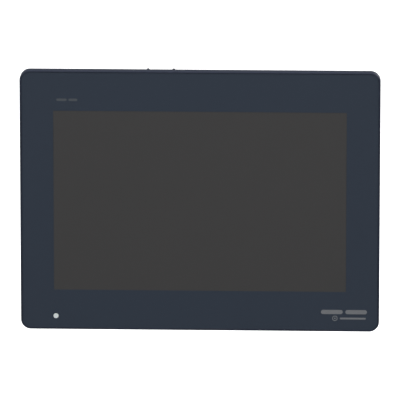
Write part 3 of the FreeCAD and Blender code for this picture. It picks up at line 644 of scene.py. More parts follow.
@dataclass(frozen=True)
class Moulding(Finish):
    """Moulded plastic with a spark-eroded grain, polished a little along its edges."""

    grain: float = 0.0004
    depth: float = 0.00003
    drift: float = 0.06
    grain_gloss: float = 0.10
    polish: float = 0.07
    rubbed: Optional[Colour] = None
    rub_share: float = 0.55
    rub_gloss: float = 0.12
    dust: float = 0.12
    specular: float = 0.5

    def apply(self, bench: Bench, tree: Tree) -> None:
        """Lays on the grain, then the rubbed edges, then dust.

        Args:
            bench: the material in the making.
            tree: its tree.
        """
        grain = bench.grain(self.grain, self.drift)
        colour = bench.shaded(self.colour, grain.outputs["Shade"])
        rough = tree.sum("MULTIPLY_ADD", grain.outputs["Height"], self.grain_gloss,
                         self.roughness - self.polish)
        if self.rubbed:
            rub = bench.use(bench.effects.rub).outputs["Mask"]
            colour = bench.rubbed(rub, self.rub_share, colour, self.rubbed)
            rough = tree.sum("MULTIPLY_ADD", rub, -self.rub_gloss, rough)
        if self.dust:
            colour = bench.dusted(colour, self.dust)
        bench.give(Base_Color=colour, Roughness=rough, Specular_IOR_Level=self.specular)
        bench.bump(grain.outputs["Height"], self.depth)


@dataclass(frozen=True)
class Metal(Finish):
    """Rolled, drawn or plated metal."""

    line: float = 900.0
    cloud: float = 0.10
    depth: float = 0.000012
    worn: Optional[Colour] = None
    worn_width: float = 0.0004
    worn_share: float = 0.6

    def apply(self, bench: Bench, tree: Tree) -> None:
        """Lays cloudy plating over drawn lines, brighter where it is rubbed.

        Args:
            bench: the material in the making.
            tree: its tree.
        """
        drawn = bench.use(bench.effects.drawn, Line=self.line)
        cloud = drawn.outputs["Cloud"]
        colour = bench.shaded(self.colour, tree.sum("MULTIPLY_ADD", cloud, self.cloud * 3, 1.0))
        if self.worn:
            rub = bench.use(bench.effects.rub, Width=self.worn_width).outputs["Mask"]
            colour = bench.rubbed(rub, self.worn_share, colour, self.worn)
        rough = tree.sum("MULTIPLY_ADD", cloud, self.cloud * 2, self.roughness)
        bench.give(Base_Color=colour, Roughness=rough, Metallic=1.0)
        bench.bump(drawn.outputs["Height"], self.depth, 0.4)


@dataclass(frozen=True)
class PowderCoat(Finish):
    """Powder-coated casting: a low orange-peel skin, bare metal at rubbed edges."""

    peel: float = 0.0016
    peel_drift: float = 0.08
    peel_gloss: float = 0.12
    polish: float = 0.06
    speck: float = 0.00035
    speck_drift: float = 0.05
    speck_height: float = 0.35
    depth: float = 0.00006
    bare: Colour = (0.30, 0.31, 0.32)
    bare_width: float = 0.0005
    bare_break: float = 180.0
    bare_share: float = 0.35
    dust: float = 0.10

    def apply(self, bench: Bench, tree: Tree) -> None:
        """Lays the orange peel and its fine specks, then bare edges, then dust.

        Args:
            bench: the material in the making.
            tree: its tree.
        """
        peel, fine = bench.grain(self.peel, self.peel_drift), bench.grain(self.speck, self.speck_drift)
        rub = bench.use(bench.effects.rub, Width=self.bare_width, Break=self.bare_break).outputs["Mask"]
        colour = bench.shaded(bench.shaded(self.colour, peel.outputs["Shade"]), fine.outputs["Shade"])
        colour = bench.rubbed(rub, self.bare_share, colour, self.bare)
        rough = tree.sum("MULTIPLY_ADD", peel.outputs["Height"], self.peel_gloss,
                         self.roughness - self.polish)
        bench.give(Base_Color=bench.dusted(colour, self.dust), Roughness=rough)
        height = tree.sum("MULTIPLY_ADD", fine.outputs["Height"], self.speck_height, peel.outputs["Height"])
        bench.bump(height, self.depth, 0.4)


@dataclass(frozen=True)
class Film(Finish):
    """A thin smooth layer: a faint grain, and gloss that wiping has varied."""

    grain: float = 0.0003
    drift: float = 0.03
    swing: float = 0.05
    patch: float = 14.0
    depth: float = 0.000006
    strength: float = 0.3
    specular: float = 0.2

    def tint(self, tree: Tree, colour: bpy.types.NodeSocket) -> bpy.types.NodeSocket:
        """The film's colour, which one kind of film changes over its surface."""
        return colour

    def apply(self, bench: Bench, tree: Tree) -> None:
        """Lays on the grain and the haze.

        Args:
            bench: the material in the making.
            tree: its tree.
        """
        grain = bench.grain(self.grain, self.drift)
        bench.give(Base_Color=self.tint(tree, bench.shaded(self.colour, grain.outputs["Shade"])),
                   Roughness=bench.haze(Level=self.roughness, Swing=self.swing, Patch=self.patch),
                   Specular_IOR_Level=self.specular)
        if self.depth:
            bench.bump(grain.outputs["Height"], self.depth, self.strength)


@dataclass(frozen=True)
class Print(Film):
    """Screen-printed ink or film: flat, with the faint mottle of the mesh it went through."""


@dataclass(frozen=True)
class ClearSheet(Film):
    """Clear or tinted sheet that shows what lies behind it."""

    grain: float = 0.00025
    depth: float = 0.000004
    specular: float = 0.5
    alpha: float = 0.15

    def apply(self, bench: Bench, tree: Tree) -> None:
        """Makes the film clear."""
        super().apply(bench, tree)
        bench.give(Alpha=self.alpha)


@dataclass(frozen=True)
class Screen(Film):
    """A display that is off: a neutral lit area inside a black border, under a matt polariser."""

    grain: float = 0.0005
    drift: float = 0.02
    swing: float = 0.04
    depth: float = 0.000004
    strength: float = 0.25
    border: Colour = (0.006, 0.006, 0.007)
    half_width: float = 0.10848
    half_height: float = 0.0678

    def tint(self, tree: Tree, colour: bpy.types.NodeSocket) -> bpy.types.NodeSocket:
        """The lit area's colour inside a rectangle about the display's centre, and the border's outside.

        Args:
            tree: the material's tree.
            colour: the lit area's colour.

        Returns:
            The colour's socket.
        """
        where = tree.add("SeparateXYZ", Vector=tree.place())
        inside_x = tree.sum("LESS_THAN", tree.sum("ABSOLUTE", where.outputs["X"]), self.half_width)
        inside_z = tree.sum("LESS_THAN", tree.sum("ABSOLUTE", where.outputs["Z"]), self.half_height)
        return tree.mix(tree.sum("MULTIPLY", inside_x, inside_z), self.border, colour)


@dataclass(frozen=True)
class Translucent(Film):
    """Milky acrylic, which can be given a faint painted glow: an emission with no lamp behind it."""

    grain: float = 0.0005
    drift: float = 0.04
    swing: float = 0.06
    patch: float = 120.0
    depth: float = 0.0
    specular: float = 0.5
    scatter: float = 0.25
    scatter_scale: float = 0.001
    # Strength of the painted glow, an emission in the acrylic's own colour.
    glow: float = 0.0

    def apply(self, bench: Bench, tree: Tree) -> None:
        """Makes the film milky, and gives it its painted glow.

        Args:
            bench: the material in the making.
            tree: its tree.
        """
        super().apply(bench, tree)
        bench.give(Subsurface_Weight=self.scatter, Subsurface_Scale=self.scatter_scale)
        # Painted glow: the acrylic emits its own colour, with no lamp lit behind it.
        bench.give(Emission_Color=self.colour, Emission_Strength=self.glow)


@dataclass(frozen=True)
class CircuitBoard(Finish):
    """Solder mask over copper tracks, with tinned pads."""

    track: Colour = (0.05, 0.24, 0.11)
    pad: Colour = (0.62, 0.62, 0.58)
    track_cells: float = 230.0
    pad_cells: float = 340.0

    def apply(self, bench: Bench, tree: Tree) -> None:
        """Lays tracks along the borders of a cell pattern, and pads at the middles of a finer one.

        Args:
            bench: the material in the making.
            tree: its tree.
        """
        flat = tree.place((1.0, 0.05, 1.0))
        lines = tree.add("TexVoronoi", {"feature": "DISTANCE_TO_EDGE"}, Vector=flat, Scale=self.track_cells,
                         Randomness=0.55)
        cells = tree.add("TexVoronoi", {"feature": "F1"}, Vector=flat, Scale=self.pad_cells)
        tracks = tree.remap(lines.outputs["Distance"], 0.10, 0.06, 0.0, 1.0)
        pads = tree.remap(cells.outputs["Distance"], 0.20, 0.16, 0.0, 1.0)
        colour = tree.mix(pads, tree.mix(tracks, self.colour, self.track), self.pad)
        bench.give(Base_Color=bench.shaded(colour, bench.grain(0.0006, 0.05).outputs["Shade"]),
                   Metallic=tree.sum("MULTIPLY", pads, 0.9),
                   Roughness=tree.sum("MULTIPLY_ADD", tracks, 0.08, self.roughness))
        bench.bump(tracks, 0.00003, 0.4)


@dataclass(frozen=True)
class Rubber(Finish):
    """Soft rubber or foam with a dull bloom."""

    bloom: Colour = (0.045, 0.045, 0.047)
    cell: float = 0.0005
    depth: float = 0.00004
    dust: float = 0.2

    def apply(self, bench: Bench, tree: Tree) -> None:
        """Lays on patches of bloom, then the grain, then dust.

        Args:
            bench: the material in the making.
            tree: its tree.
        """
        grain = bench.grain(self.cell, 0.1)
        patch = tree.remap(tree.noise(tree.place(), 70.0, 5.0, 0.7), 0.45, 0.75, 0.0, 0.8)
        colour = bench.shaded(tree.mix(patch, self.colour, self.bloom), grain.outputs["Shade"])
        bench.give(Base_Color=bench.dusted(colour, self.dust),
                   Roughness=tree.sum("MULTIPLY_ADD", patch, 0.1, self.roughness))
        bench.bump(grain.outputs["Height"], self.depth)


class Palette:
    """Every finish of the panel, made once."""

    def __init__(self, effects: Effects) -> None:
        """Makes the materials.

        Args:
            effects: the shared node groups.
        """
        plans = [
            Moulding("bezel_plastic", (0.0215, 0.0275, 0.047), 0.50, rubbed=(0.050, 0.059, 0.091),
                     dust=0.0, specular=0.2),
            Moulding("rear_plastic", (0.040, 0.043, 0.048), 0.58, grain=0.0007, depth=0.00007,
                     rubbed=(0.09, 0.095, 0.10), dust=0.07),
            Moulding("connector_plastic", (0.012, 0.012, 0.013), 0.42, grain=0.0003),
            Moulding("plug_plastic", (0.022, 0.20, 0.065), 0.40, rubbed=(0.06, 0.32, 0.13)),
            Moulding("switch_plastic", (0.30, 0.022, 0.018), 0.36, dust=0.05),
            Moulding("button_plastic", (0.74, 0.73, 0.69), 0.38, grain=0.0003, dust=0.03, drift=0.04),
            Moulding("card_plastic", (0.016, 0.017, 0.022), 0.45, grain=0.0003, dust=0.03),
            Moulding("foot_plastic", (0.018, 0.018, 0.019), 0.48),
            Moulding("tongue_plastic", (0.62, 0.62, 0.60), 0.42, grain=0.0003, dust=0.0, drift=0.03),
            PowderCoat("cover_coat", (0.034, 0.037, 0.042), 0.50),
            Metal("sheet_zinc", (0.56, 0.57, 0.58), 0.34, worn=(0.70, 0.70, 0.70)),
            Metal("clamp_zinc", (0.52, 0.52, 0.50), 0.36, cloud=0.16, worn=(0.68, 0.67, 0.64)),
            Metal("screw_zinc", (0.60, 0.60, 0.58), 0.30, cloud=0.08, line=1600.0, worn=(0.75, 0.75, 0.74)),
            Metal("chassis_aluminium", (0.66, 0.67, 0.68), 0.36, line=700.0),
            Metal("tin_shell", (0.66, 0.65, 0.62), 0.28, cloud=0.06),
            Metal("contact_gold", (0.83, 0.60, 0.24), 0.26, cloud=0.05, line=2200.0),
            ClearSheet("overlay_film", (0.020, 0.024, 0.030), 0.44, alpha=0.12, specular=0.6),
            ClearSheet("sensor_clear", (0.030, 0.031, 0.032), 0.20, alpha=0.04, depth=0.000001),
            ClearSheet("sensor_smoke", (0.085, 0.082, 0.080), 0.50, alpha=0.85, specular=0.2, swing=0.03),
            Print("overlay_ink", (0.0385, 0.053, 0.079), 0.60, drift=0.02),
            Print("mark_ink", (0.25, 0.26, 0.275), 0.60),
            Print("faint_mark_ink", (0.100, 0.114, 0.130), 0.60),
            Print("white_ink", (0.55, 0.55, 0.54), 0.55),
            Print("plate_film", (0.50, 0.51, 0.52), 0.45, drift=0.05, specular=0.5),
            Print("plate_ink", (0.035, 0.036, 0.038), 0.50),
            Screen("screen_off", (0.055, 0.052, 0.049), 0.55),
            CircuitBoard("circuit_board", (0.012, 0.11, 0.05), 0.32),
            Print("polyimide", (0.52, 0.26, 0.06), 0.32, drift=0.06, specular=0.5),
            Rubber("gasket_rubber", (0.013, 0.013, 0.014), 0.72),
            Rubber("seal_foam", (0.02, 0.02, 0.02), 0.9, cell=0.0009),
            # The status light pipe gets a painted glow; no lamp is lit behind it.
            Translucent("painted_glow_acrylic", (0.90, 0.94, 0.95), 0.35, scatter=0.12, glow=0.13),
            Translucent("optic_acrylic", (0.80, 0.82, 0.84), 0.22, scatter=0.1),
            Translucent("lamp_green", (0.10, 0.55, 0.16), 0.25, scatter=0.15),
            Translucent("lamp_amber", (0.75, 0.38, 0.05), 0.25, scatter=0.15),
        ]
        self.made = {plan.name: plan.make(effects) for plan in plans}

    def __getitem__(self, name: str) -> bpy.types.Material:
        """The material of that name."""
        return self.made[name]


# ---------------------------------------------------------------------------------------------
# Sub-assemblies
# ---------------------------------------------------------------------------------------------
def middle(node: str) -> Vector:
    """The centre of a CAD node's box."""
    low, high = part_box(node)
    return (low + high) / 2


@dataclass(frozen=True)
class Bar:
    """A round-ended bar of ink, in millimetres: its two ends, its height on the front, and how tall it is."""

    left: float
    right: float
    height: float
    tall: float


@dataclass
class FrontPanel:
    """What the operator sees: frame, film, print, marks, status light pipe with a painted glow, and the
    gasket behind.
    """

    palette: Palette
    film_edge: float = 0.22 * MM
    film_corner: float = 6.2 * MM
    film_gap: float = 0.04 * MM
    corner_steps: int = 14
    print_depth: float = 0.03 * MM
    print_edge: float = 0.01 * MM
    gasket_corner: float = 7.2 * MM
    gasket_width: float = 3.2 * MM
    gasket_chamfer: float = 0.3 * MM
    lip_height: float = 0.45 * MM
    lips: int = 2
    lip_steps: int = 25
    bars: tuple[Bar, ...] = (
        Bar(90.2, 106.4, -83.4, 3.2), Bar(108.4, 124.4, -83.4, 3.2), Bar(104.2, 123.6, -88.3, 1.4),
    )
    faint_bars: tuple[Bar, ...] = (Bar(-106.2, -98.6, 76.3, 1.9), Bar(-97.2, -90.6, 76.3, 1.9))
    target: Bar = Bar(100.0, 101.2, -88.2, 1.2)
    target_radius: float = 2.0 * MM
    target_line: float = 0.55 * MM

    def build(self) -> None:
        """Dresses the front's CAD nodes and makes its own pieces."""
        dress(self.palette["bezel_plastic"], "front_bezel")
        dress(self.palette["overlay_ink"], "overlay_print")
        # The status light pipe, with its painted glow.
        dress(self.palette["painted_glow_acrylic"], "status_light_pipe")
        self._film()
        self._marks()
        self._gasket()

    def _film(self) -> None:
        """The clear film, with its cut edge rolled over, lying a hair in front of the ink."""
        low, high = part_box("overlay_sheet")
        size, back = high - low, high.y - self.film_gap
        shell = soft_plate(size.x, size.z, self.film_corner, low.y, back, self.film_edge,
                           steps=self.corner_steps)
        make_piece("front_film", [shell], self.palette["overlay_film"], "panel",
                   ["overlay_sheet"])

    def _bar(self, bar: Bar, back: float) -> Shell:
        """One bar's ink.

        Args:
            bar: the bar.
            back: the plane of the print, where the ink ends.

        Returns:
            The ink's shell.
        """
        centre = ((bar.left + bar.right) / 2 * MM, bar.height * MM)
        width, tall = (bar.right - bar.left) * MM, bar.tall * MM
        return soft_plate(width, tall, tall / 2, back - self.print_depth, back, self.print_edge, centre)

    def _marks(self) -> None:
        """Plain bars and a touch target, a ring about a dot, printed on the back of the film."""
        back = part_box("overlay_print")[0].y
        front = back - self.print_depth
        ring = np.array([[0.0, front], [self.target_line, front], [self.target_line, back], [0.0, back]])
        across = 2 * self.target_radius
        centre = ((self.target.left + self.target.right) / 2 * MM, self.target.height * MM)
        plain = [self._bar(bar, back) for bar in self.bars]
        plain += [band(ring, across, across, self.target_radius, centre), self._bar(self.target, back)]
        faint = [self._bar(bar, back) for bar in self.faint_bars]
        make_piece("front_marks", plain, self.palette["mark_ink"], "panel")
        make_piece("front_faint_marks", faint, self.palette["faint_mark_ink"], "panel")

    def _gasket(self) -> None:
        """The door gasket, with soft ridges on its rear face.

        Formula: the rear face is the seat plane less the lip height times a raised cosine, one wave a ridge.
        """
        low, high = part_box("installation_gasket")
        wide, cut = self.gasket_width, self.gasket_chamfer
        across = np.linspace(0.0, 1.0, self.lip_steps)
        rear = high.y - self.lip_height * (0.5 + 0.5 * np.cos(2 * self.lips * math.pi * across))
        front = np.array([[wide, low.y + cut], [wide - cut, low.y], [cut, low.y], [0.0, low.y + cut]])
        section = np.concatenate([np.column_stack([across * wide, rear]), front])
        shell = band(section, high.x - low.x, high.z - low.z, self.gasket_corner, steps=self.corner_steps)
        make_piece("door_gasket", [shell], self.palette["gasket_rubber"], "panel",
                   ["installation_gasket"])


@dataclass
class DisplayStack:
    """Touch sensor, display module and the plate behind them."""

    palette: Palette

    def build(self) -> None:
        """Dresses every layer."""
        p = self.palette
        dress(p["sensor_smoke"], "touch_film")
        dress(p["sensor_clear"], "touch_glass")
        dress(p["screen_off"], "lcd_cell")
        dress(p["seal_foam"], "dust_seal")
        dress(p["polyimide"], "touch_tail", "lcd_ribbon")
        dress(p["sheet_zinc"], "lcd_front_frame", "lcd_rear_tray")
        dress(p["optic_acrylic"], "diffuser_stack", "light_guide")
        dress(p["circuit_board"], "backlight_led_bar", "led_board", "link_board")
        dress(p["chassis_aluminium"], "display_chassis")
        dress(p["connector_plastic"], "link_socket", "link_plug")


@dataclass
class RearCase:
    """The moulded case that passes through the door, its screws and its mould marks."""

    palette: Palette
    raised: float = 0.25 * MM
    ring_width: float = 0.62 * MM
    ring_slope: float = 0.12 * MM
    ring_steps: int = 12
    clock_at: tuple[float, float] = (116.0 * MM, 30.0 * MM)
    clock_radius: float = 4.0 * MM
    dial_radius: float = 1.5 * MM
    tick_radius: float = 2.7 * MM
    tick_size: float = 0.5 * MM
    tick_edge: float = 0.05 * MM
    ticks: int = 12
    pin_radius: float = 2.6 * MM
    pins: tuple[tuple[float, float], ...] = (
        (-115.5 * MM, -30.0 * MM), (-115.5 * MM, 30.0 * MM), (115.5 * MM, -30.0 * MM),
    )

    def build(self) -> None:
        """Dresses the case and screws and adds the mould marks."""
        dress(self.palette["rear_plastic"], "rear_case")
        dress(self.palette["screw_zinc"], "case_screws")
        self._mould_marks()

    def _ring(self, x: float, z: float, radius: float, face: float) -> Shell:
        """A low raised ring on the case's rear face.

        Args:
            x: the ring's centre.
            z: the same.
            radius: its outer radius.
            face: the plane of the rear face.

        Returns:
            The ring's shell.
        """
        top, far = face + self.raised, self.ring_width - self.ring_slope
        section = np.array([[0.0, face], [self.ring_slope, top], [far, top], [self.ring_width, face]])
        return band(section, 2 * radius, 2 * radius, radius, (x, z), steps=self.ring_steps)

    def _mould_marks(self) -> None:
        """A date clock with its ticks, and the rings that ejector pins leave."""
        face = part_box("box_base")[0].y
        x, z = self.clock_at
        shells = [self._ring(x, z, self.clock_radius, face), self._ring(x, z, self.dial_radius, face)]
        for spot in circle(self.tick_radius, self.ticks) + np.array([x, z]):
            shells.append(soft_plate(self.tick_size, self.tick_size, self.tick_size / 2, face + self.raised,
                                     face, self.tick_edge, tuple(spot), steps=3))
        shells += [self._ring(x, z, self.pin_radius, face) for x, z in self.pins]
        make_piece("mould_marks", shells, self.palette["rear_plastic"], "panel")


@dataclass
class DoorClamps:
    """Four clamps: bracket, foot, and a screw with a real thread."""

    palette: Palette
    shank_radius: float = 1.95 * MM
    point_radius: float = 1.6 * MM
    point_length: float = 2.2 * MM
    point_chamfer: float = 0.3 * MM
    plain_length: float = 1.2 * MM
    pitch: float = 0.7 * MM
    thread_depth: float = 0.38 * MM
    thread_slope: float = 1.25
    thread_crest: float = 0.12
    head_height: float = 2.6 * MM
    head_chamfer: float = 0.2 * MM
    head_wall: float = 0.45
    dome_reach: float = 0.72
    arm_reach: float = 0.66
    arm_half: float = 0.15
    recess_depth: float = 1.4 * MM
    recess_lip: float = 0.15 * MM
    recess_taper: float = 0.55
    steps: int = 36
    per_turn: int = 8

    def build(self) -> None:
        """Dresses brackets and feet and makes the four screws."""
        for number in range(1, 5):
            dress(self.palette["clamp_zinc"], f"clamp_bracket_{number}")
            dress(self.palette["foot_plastic"], f"clamp_foot_{number}")
            self._screw(number)

    def _round(self, *radii: float) -> list[Array]:
        """Round outlines, one for each radius."""
        return [circle(radius, self.steps) for radius in radii]

    def _thread(self, neck: float, under_head: float) -> tuple[list[Array], list[float]]:
        """Outlines of the threaded length.

        Formula: the radius falls by the depth times a triangle wave of (place over pitch less angle over a
        full turn), cut flat at its crest and its root. The wave fades in and out over one pitch.

        Args:
            neck: where the thread starts.
            under_head: the plane under the head.

        Returns:
            The outlines and their places along the screw.
        """
        turns = (under_head - neck - self.plain_length) / self.pitch
        along = np.linspace(neck, under_head - self.plain_length, int(turns * self.per_turn))
        angle = np.linspace(0.0, 2 * math.pi, self.steps, endpoint=False)
        phase = (along[:, None] / self.pitch - angle[None, :] / (2 * math.pi)) % 1.0
        groove = np.clip(np.abs(2 * phase - 1) * self.thread_slope - self.thread_crest, 0.0, 1.0)
        fade = np.clip(np.minimum(along - neck, along[-1] - along) / self.pitch, 0.0, 1.0)[:, None]
        radius = self.shank_radius - self.thread_depth * groove * fade
        outlines = radius[..., None] * np.stack([np.cos(angle), np.sin(angle)], axis=-1)[None]
        return list(outlines), list(along)

    def _head(self, under_head: float, top: float, radius: float) -> tuple[list[Array], list[float]]:
        """Outlines of the domed head and the cross recess in it.

        Formula: the dome's radius is the head's times the square root of one less the square of (reach times
        rise). Its wall stands straight up to its share of the height, and the dome takes the rest.

        Args:
            under_head: the plane under the head.
            top: the top of the dome.
            radius: the head's radius.

        Returns:
            The outlines and their places along the screw.
        """
        rise = np.linspace(0.0, 1.0, 8)
        dome = radius * np.sqrt(1 - (self.dome_reach * rise) ** 2)
        recess = cross(self.arm_reach * radius, self.arm_half * radius, self.steps)
        outlines = self._round(radius - self.head_chamfer, radius, *dome)
        outlines += [recess, recess * 0.98, recess * self.recess_taper]
        places = [under_head, under_head + self.head_chamfer]
        places += list(under_head + (top - under_head) * (self.head_wall + (1 - self.head_wall) * rise))
        places += [top, top - self.recess_lip, top - self.recess_depth]
        return outlines, places

    def _screw(self, number: int) -> None:
        """One screw: its point, its thread, its shank and its head.

        Args:
            number: which of the four.
        """
        low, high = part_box(f"clamp_screw_{number}")
        centre = ((low.x + high.x) / 2, (low.z + high.z) / 2)
        under_head, neck = high.y - self.head_height, low.y + self.point_length
        thread, along = self._thread(neck, under_head)
        head, up = self._head(under_head, high.y, (high.x - low.x) / 2)
        point = self._round(self.point_radius - self.point_chamfer, self.point_radius, self.point_radius)
        outlines = point + thread + self._round(self.shank_radius) + head
        places = [low.y, low.y + self.point_chamfer, neck - 0.1 * MM] + along + [under_head - 0.02 * MM] + up
        make_piece(f"clamp_screw_thread_{number}", [stack(Axis.Y, outlines, places, centre)],
                   self.palette["screw_zinc"], f"screw_{number}",
                   [f"clamp_screw_{number}"], crease=28.0)


@dataclass
class ComputerBox:
    """The box behind the case: cover, base, plate, board and what stands on it."""

    palette: Palette
    line: float = 0.35 * MM
    ink: float = 0.03 * MM
    margin: float = 2.0 * MM
    indent: float = 3.0 * MM
    frame_corner: float = 0.8 * MM
    rule_corner: float = 0.05 * MM
    block: float = 1.5 * MM
    block_corner: float = 0.3 * MM
    block_shares: tuple[float, ...] = (0.30, 0.44, 0.38, 0.26)

    def build(self) -> None:
        """Dresses the box and prints its blank plate."""
        p = self.palette
        dress(p["cover_coat"], "box_cover")
        dress(p["sheet_zinc"], "box_base", "board_standoffs")
        dress(p["screw_zinc"], "box_screws", "backup_battery")
        dress(p["circuit_board"], "main_board")
        dress(p["connector_plastic"], "board_parts")
        dress(p["chassis_aluminium"], "heat_sink")
        dress(p["plate_film"], "rating_plate")
        self._plate_print()

    def _plate_print(self) -> None:
        """A ruled frame with empty rows and plain blocks, and no lettering."""
        low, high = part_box("rating_plate")
        face, centre = high.y, middle("rating_plate")
        top, edge, rows = face + self.ink, self.ink / 6, len(self.block_shares)
        width, height = high.x - low.x - 2 * self.margin, high.z - low.z - 2 * self.margin
        section = np.array([[0.0, face], [0.0, top], [self.line, top], [self.line, face]])
        shells = [band(section, width, height, self.frame_corner, (centre.x, centre.z), steps=4)]
        for row in range(1, rows):
            z = low.z + self.margin + height * row / rows
            shells.append(soft_plate(width - self.line, self.line, self.rule_corner, top, face, edge,
                                     (centre.x, z), steps=2))
        for row, share in enumerate(self.block_shares):
            long = share * width
            spot = (centre.x + width / 2 - self.indent - long / 2,
                    low.z + self.margin + height * (row + 0.5) / rows)
            shells.append(soft_plate(long, self.block, self.block_corner, top, face, edge, spot, steps=3))
        make_piece("plate_print", shells, self.palette["plate_ink"], "panel")


@dataclass
class PortRow:
    """The ports under the box."""

    palette: Palette
    jack_x: tuple[float, float] = (-38.0 * MM, -18.0 * MM)
    corner: float = 0.3 * MM
    wires: int = 8
    wire_pitch: float = 1.02 * MM
    wire_size: tuple[float, float] = (0.42 * MM, 0.22 * MM)
    wire_start: tuple[float, float] = (3.4 * MM, 1.6 * MM)
    wire_run: tuple[float, float] = (2.6 * MM, 10.4 * MM)
    wire_straight: float = 0.35
    lamp_size: tuple[float, float] = (2.4 * MM, 1.7 * MM)
    lamp_offset: float = 5.6 * MM
    lamp_inset: float = 1.6 * MM
    lamp_ends: tuple[float, float] = (-0.25 * MM, 1.0 * MM)
    usb_x: tuple[float, float] = (4.0 * MM, 22.0 * MM)
    tongue_size: tuple[float, float] = (11.4 * MM, 2.0 * MM)
    tongue_height: float = 4.8 * MM
    tongue_ends: tuple[float, float] = (1.0 * MM, 13.0 * MM)
    contact_size: tuple[float, float] = (1.0 * MM, 0.15 * MM)
    contact_ends: tuple[float, float] = (1.6 * MM, 11.5 * MM)
    contact_height: float = -1.05 * MM
    contact_places: tuple[float, ...] = (-3.5 * MM, -1.0 * MM, 1.0 * MM, 3.5 * MM)
    serial_y: float = 41.8 * MM
    serial_floor: float = -77.4 * MM
    insulator_size: tuple[float, float, float] = (15.5 * MM, 7.3 * MM, 2.2 * MM)
    insulator_flare: float = 0.09
    pin_tip: float = -82.4 * MM
    pin_tip_length: float = 0.35 * MM
    pin_tip_flat: float = 0.08
    pin_steps: int = 14
    pin_radius: float = 0.54 * MM
    pin_pitch: float = 2.77 * MM
    pin_rows: tuple[tuple[float, int], ...] = ((1.42 * MM, 5), (-1.42 * MM, 4))
    ribs: int = 5
    rib_size: tuple[float, float] = (8.0 * MM, 0.8 * MM)
    rib_start: float = 3.0 * MM
    rib_pitch: float = 1.7 * MM
    rib_proud: float = 0.35 * MM
    ink: float = 0.03 * MM
    sign_height: float = 6.0 * MM

    def build(self) -> None:
        """Dresses the ports and makes their contacts, lamps, liners and marks."""
        p = self.palette
        dress(p["connector_plastic"], "lan_jacks", "power_header")
        dress(p["tin_shell"], "usb_ports", "serial_port")
        dress(p["plug_plastic"], "power_plug")
        dress(p["screw_zinc"], "plug_screws", "earth_screw")
        self._jack_wires()
        self._jack_lamps()
        self._usb_tongues()
        self._serial_insulator()
        self._serial_pins()
        self._plug_ribs()
        self._symbols()

    def _jack_wires(self) -> None:
        """Sprung contact wires in each network jack.

        Formula: each wire runs straight up the jack's front wall, and then leans back by half a cosine wave.
        """
        low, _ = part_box("lan_jacks")
        t = np.linspace(0.0, 1.0, 16)
        lean = np.clip((t - self.wire_straight) / (1 - self.wire_straight), 0.0, 1.0)
        back = 0.5 - 0.5 * np.cos(math.pi * lean)
        route = np.column_stack([low.y + self.wire_start[0] + self.wire_run[0] * back,
                                 low.z + self.wire_start[1] + self.wire_run[1] * t])
        offsets = (np.arange(self.wires) - (self.wires - 1) / 2) * self.wire_pitch
        shells = [wire(route, *self.wire_size, x + offset) for x in self.jack_x for offset in offsets]
        make_piece("jack_wires", shells, self.palette["contact_gold"], "panel")

    def _jack_lamps(self) -> None:
        """Two small lamp windows at the mouth of each jack."""
        low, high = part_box("lan_jacks")
        y = high.y - self.lamp_inset
        front, back = (low.z + end for end in self.lamp_ends)
        for name, offset in (("green", -self.lamp_offset), ("amber", self.lamp_offset)):
            shells = [soft_plate(*self.lamp_size, self.corner, front, back, self.corner / 2, (x + offset, y),
                                 Axis.Z, steps=4) for x in self.jack_x]
            make_piece(f"jack_lamp_{name}", shells, self.palette[f"lamp_{name}"], "panel")

    def _usb_tongues(self) -> None:
        """Plastic tongue with four contacts in each serial bus socket."""
        low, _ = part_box("usb_ports")
        y = low.y + self.tongue_height
        front, back = (low.z + end for end in self.tongue_ends)
        tongues = [soft_plate(*self.tongue_size, self.corner, front, back, 0.25 * MM, (x, y), Axis.Z, steps=4)
                   for x in self.usb_x]
        route = np.column_stack([np.full(6, y + self.contact_height),
                                 low.z + np.linspace(*self.contact_ends, 6)])
        contacts = [wire(route, *self.contact_size, x + place)
                    for x in self.usb_x for place in self.contact_places]
        make_piece("usb_tongues", tongues, self.palette["tongue_plastic"], "panel")
        make_piece("usb_contacts", contacts, self.palette["contact_gold"], "panel")

    def _serial_insulator(self) -> None:
        """Black insulator in the serial plug's shell.

        Formula: a rounded rectangle, widened by the flare towards one long side, narrowed towards the other.
        """
        base = rounded(*self.insulator_size)
        base[:, 0] *= 1 + self.insulator_flare * base[:, 1] / (self.insulator_size[1] / 2)
        places = [self.serial_floor + 0.3 * MM, self.serial_floor - 0.5 * MM, self.serial_floor - 0.6 * MM]
        shell = stack(Axis.Z, [base, base, base * 0.97], places, (middle("serial_port").x, self.serial_y))
        make_piece("serial_insulator", [shell], self.palette["connector_plastic"],
                   "panel")

    def _serial_pins(self) -> None:
        """Nine gilt pins with round tips.

        Formula: a tip's radius falls as the cosine of a quarter turn, to a small flat, while its place goes
        out as the sine.
        """
        turn = np.linspace(0.0, QUARTER, 5)
        radii = self.pin_radius * np.concatenate([[1.0], np.maximum(np.cos(turn), self.pin_tip_flat)])
        outlines = [circle(radius, self.pin_steps) for radius in radii]
        places = [self.serial_floor - 0.5 * MM] + list(self.pin_tip - self.pin_tip_length * np.sin(turn))
        x = middle("serial_port").x
        spots = [(x + (k - (count - 1) / 2) * self.pin_pitch, self.serial_y + row)
                 for row, count in self.pin_rows for k in range(count)]
        pins = [stack(Axis.Z, outlines, places, spot) for spot in spots]
        make_piece("serial_pins", pins, self.palette["contact_gold"], "panel")

    def _plug_ribs(self) -> None:
        """Finger ribs on both ends of the supply plug."""
        low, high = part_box("power_plug")
        y = (low.y + high.y) / 2
        ends = ((low.x, low.x - self.rib_proud), (high.x, high.x + self.rib_proud))
        shells = [soft_plate(*self.rib_size, self.corner, front, face, 0.2 * MM,
                             (y, low.z + self.rib_start + self.rib_pitch * k), Axis.X, steps=4)
                  for face, front in ends for k in range(self.ribs)]
        make_piece("plug_ribs", shells, self.palette["plug_plastic"], "plug")

    def _symbols(self) -> None:
        """Plus, minus and earth signs printed by the supply, on the back of the cover."""
        low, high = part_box("box_cover")
        face, z = high.y, low.z + self.sign_height
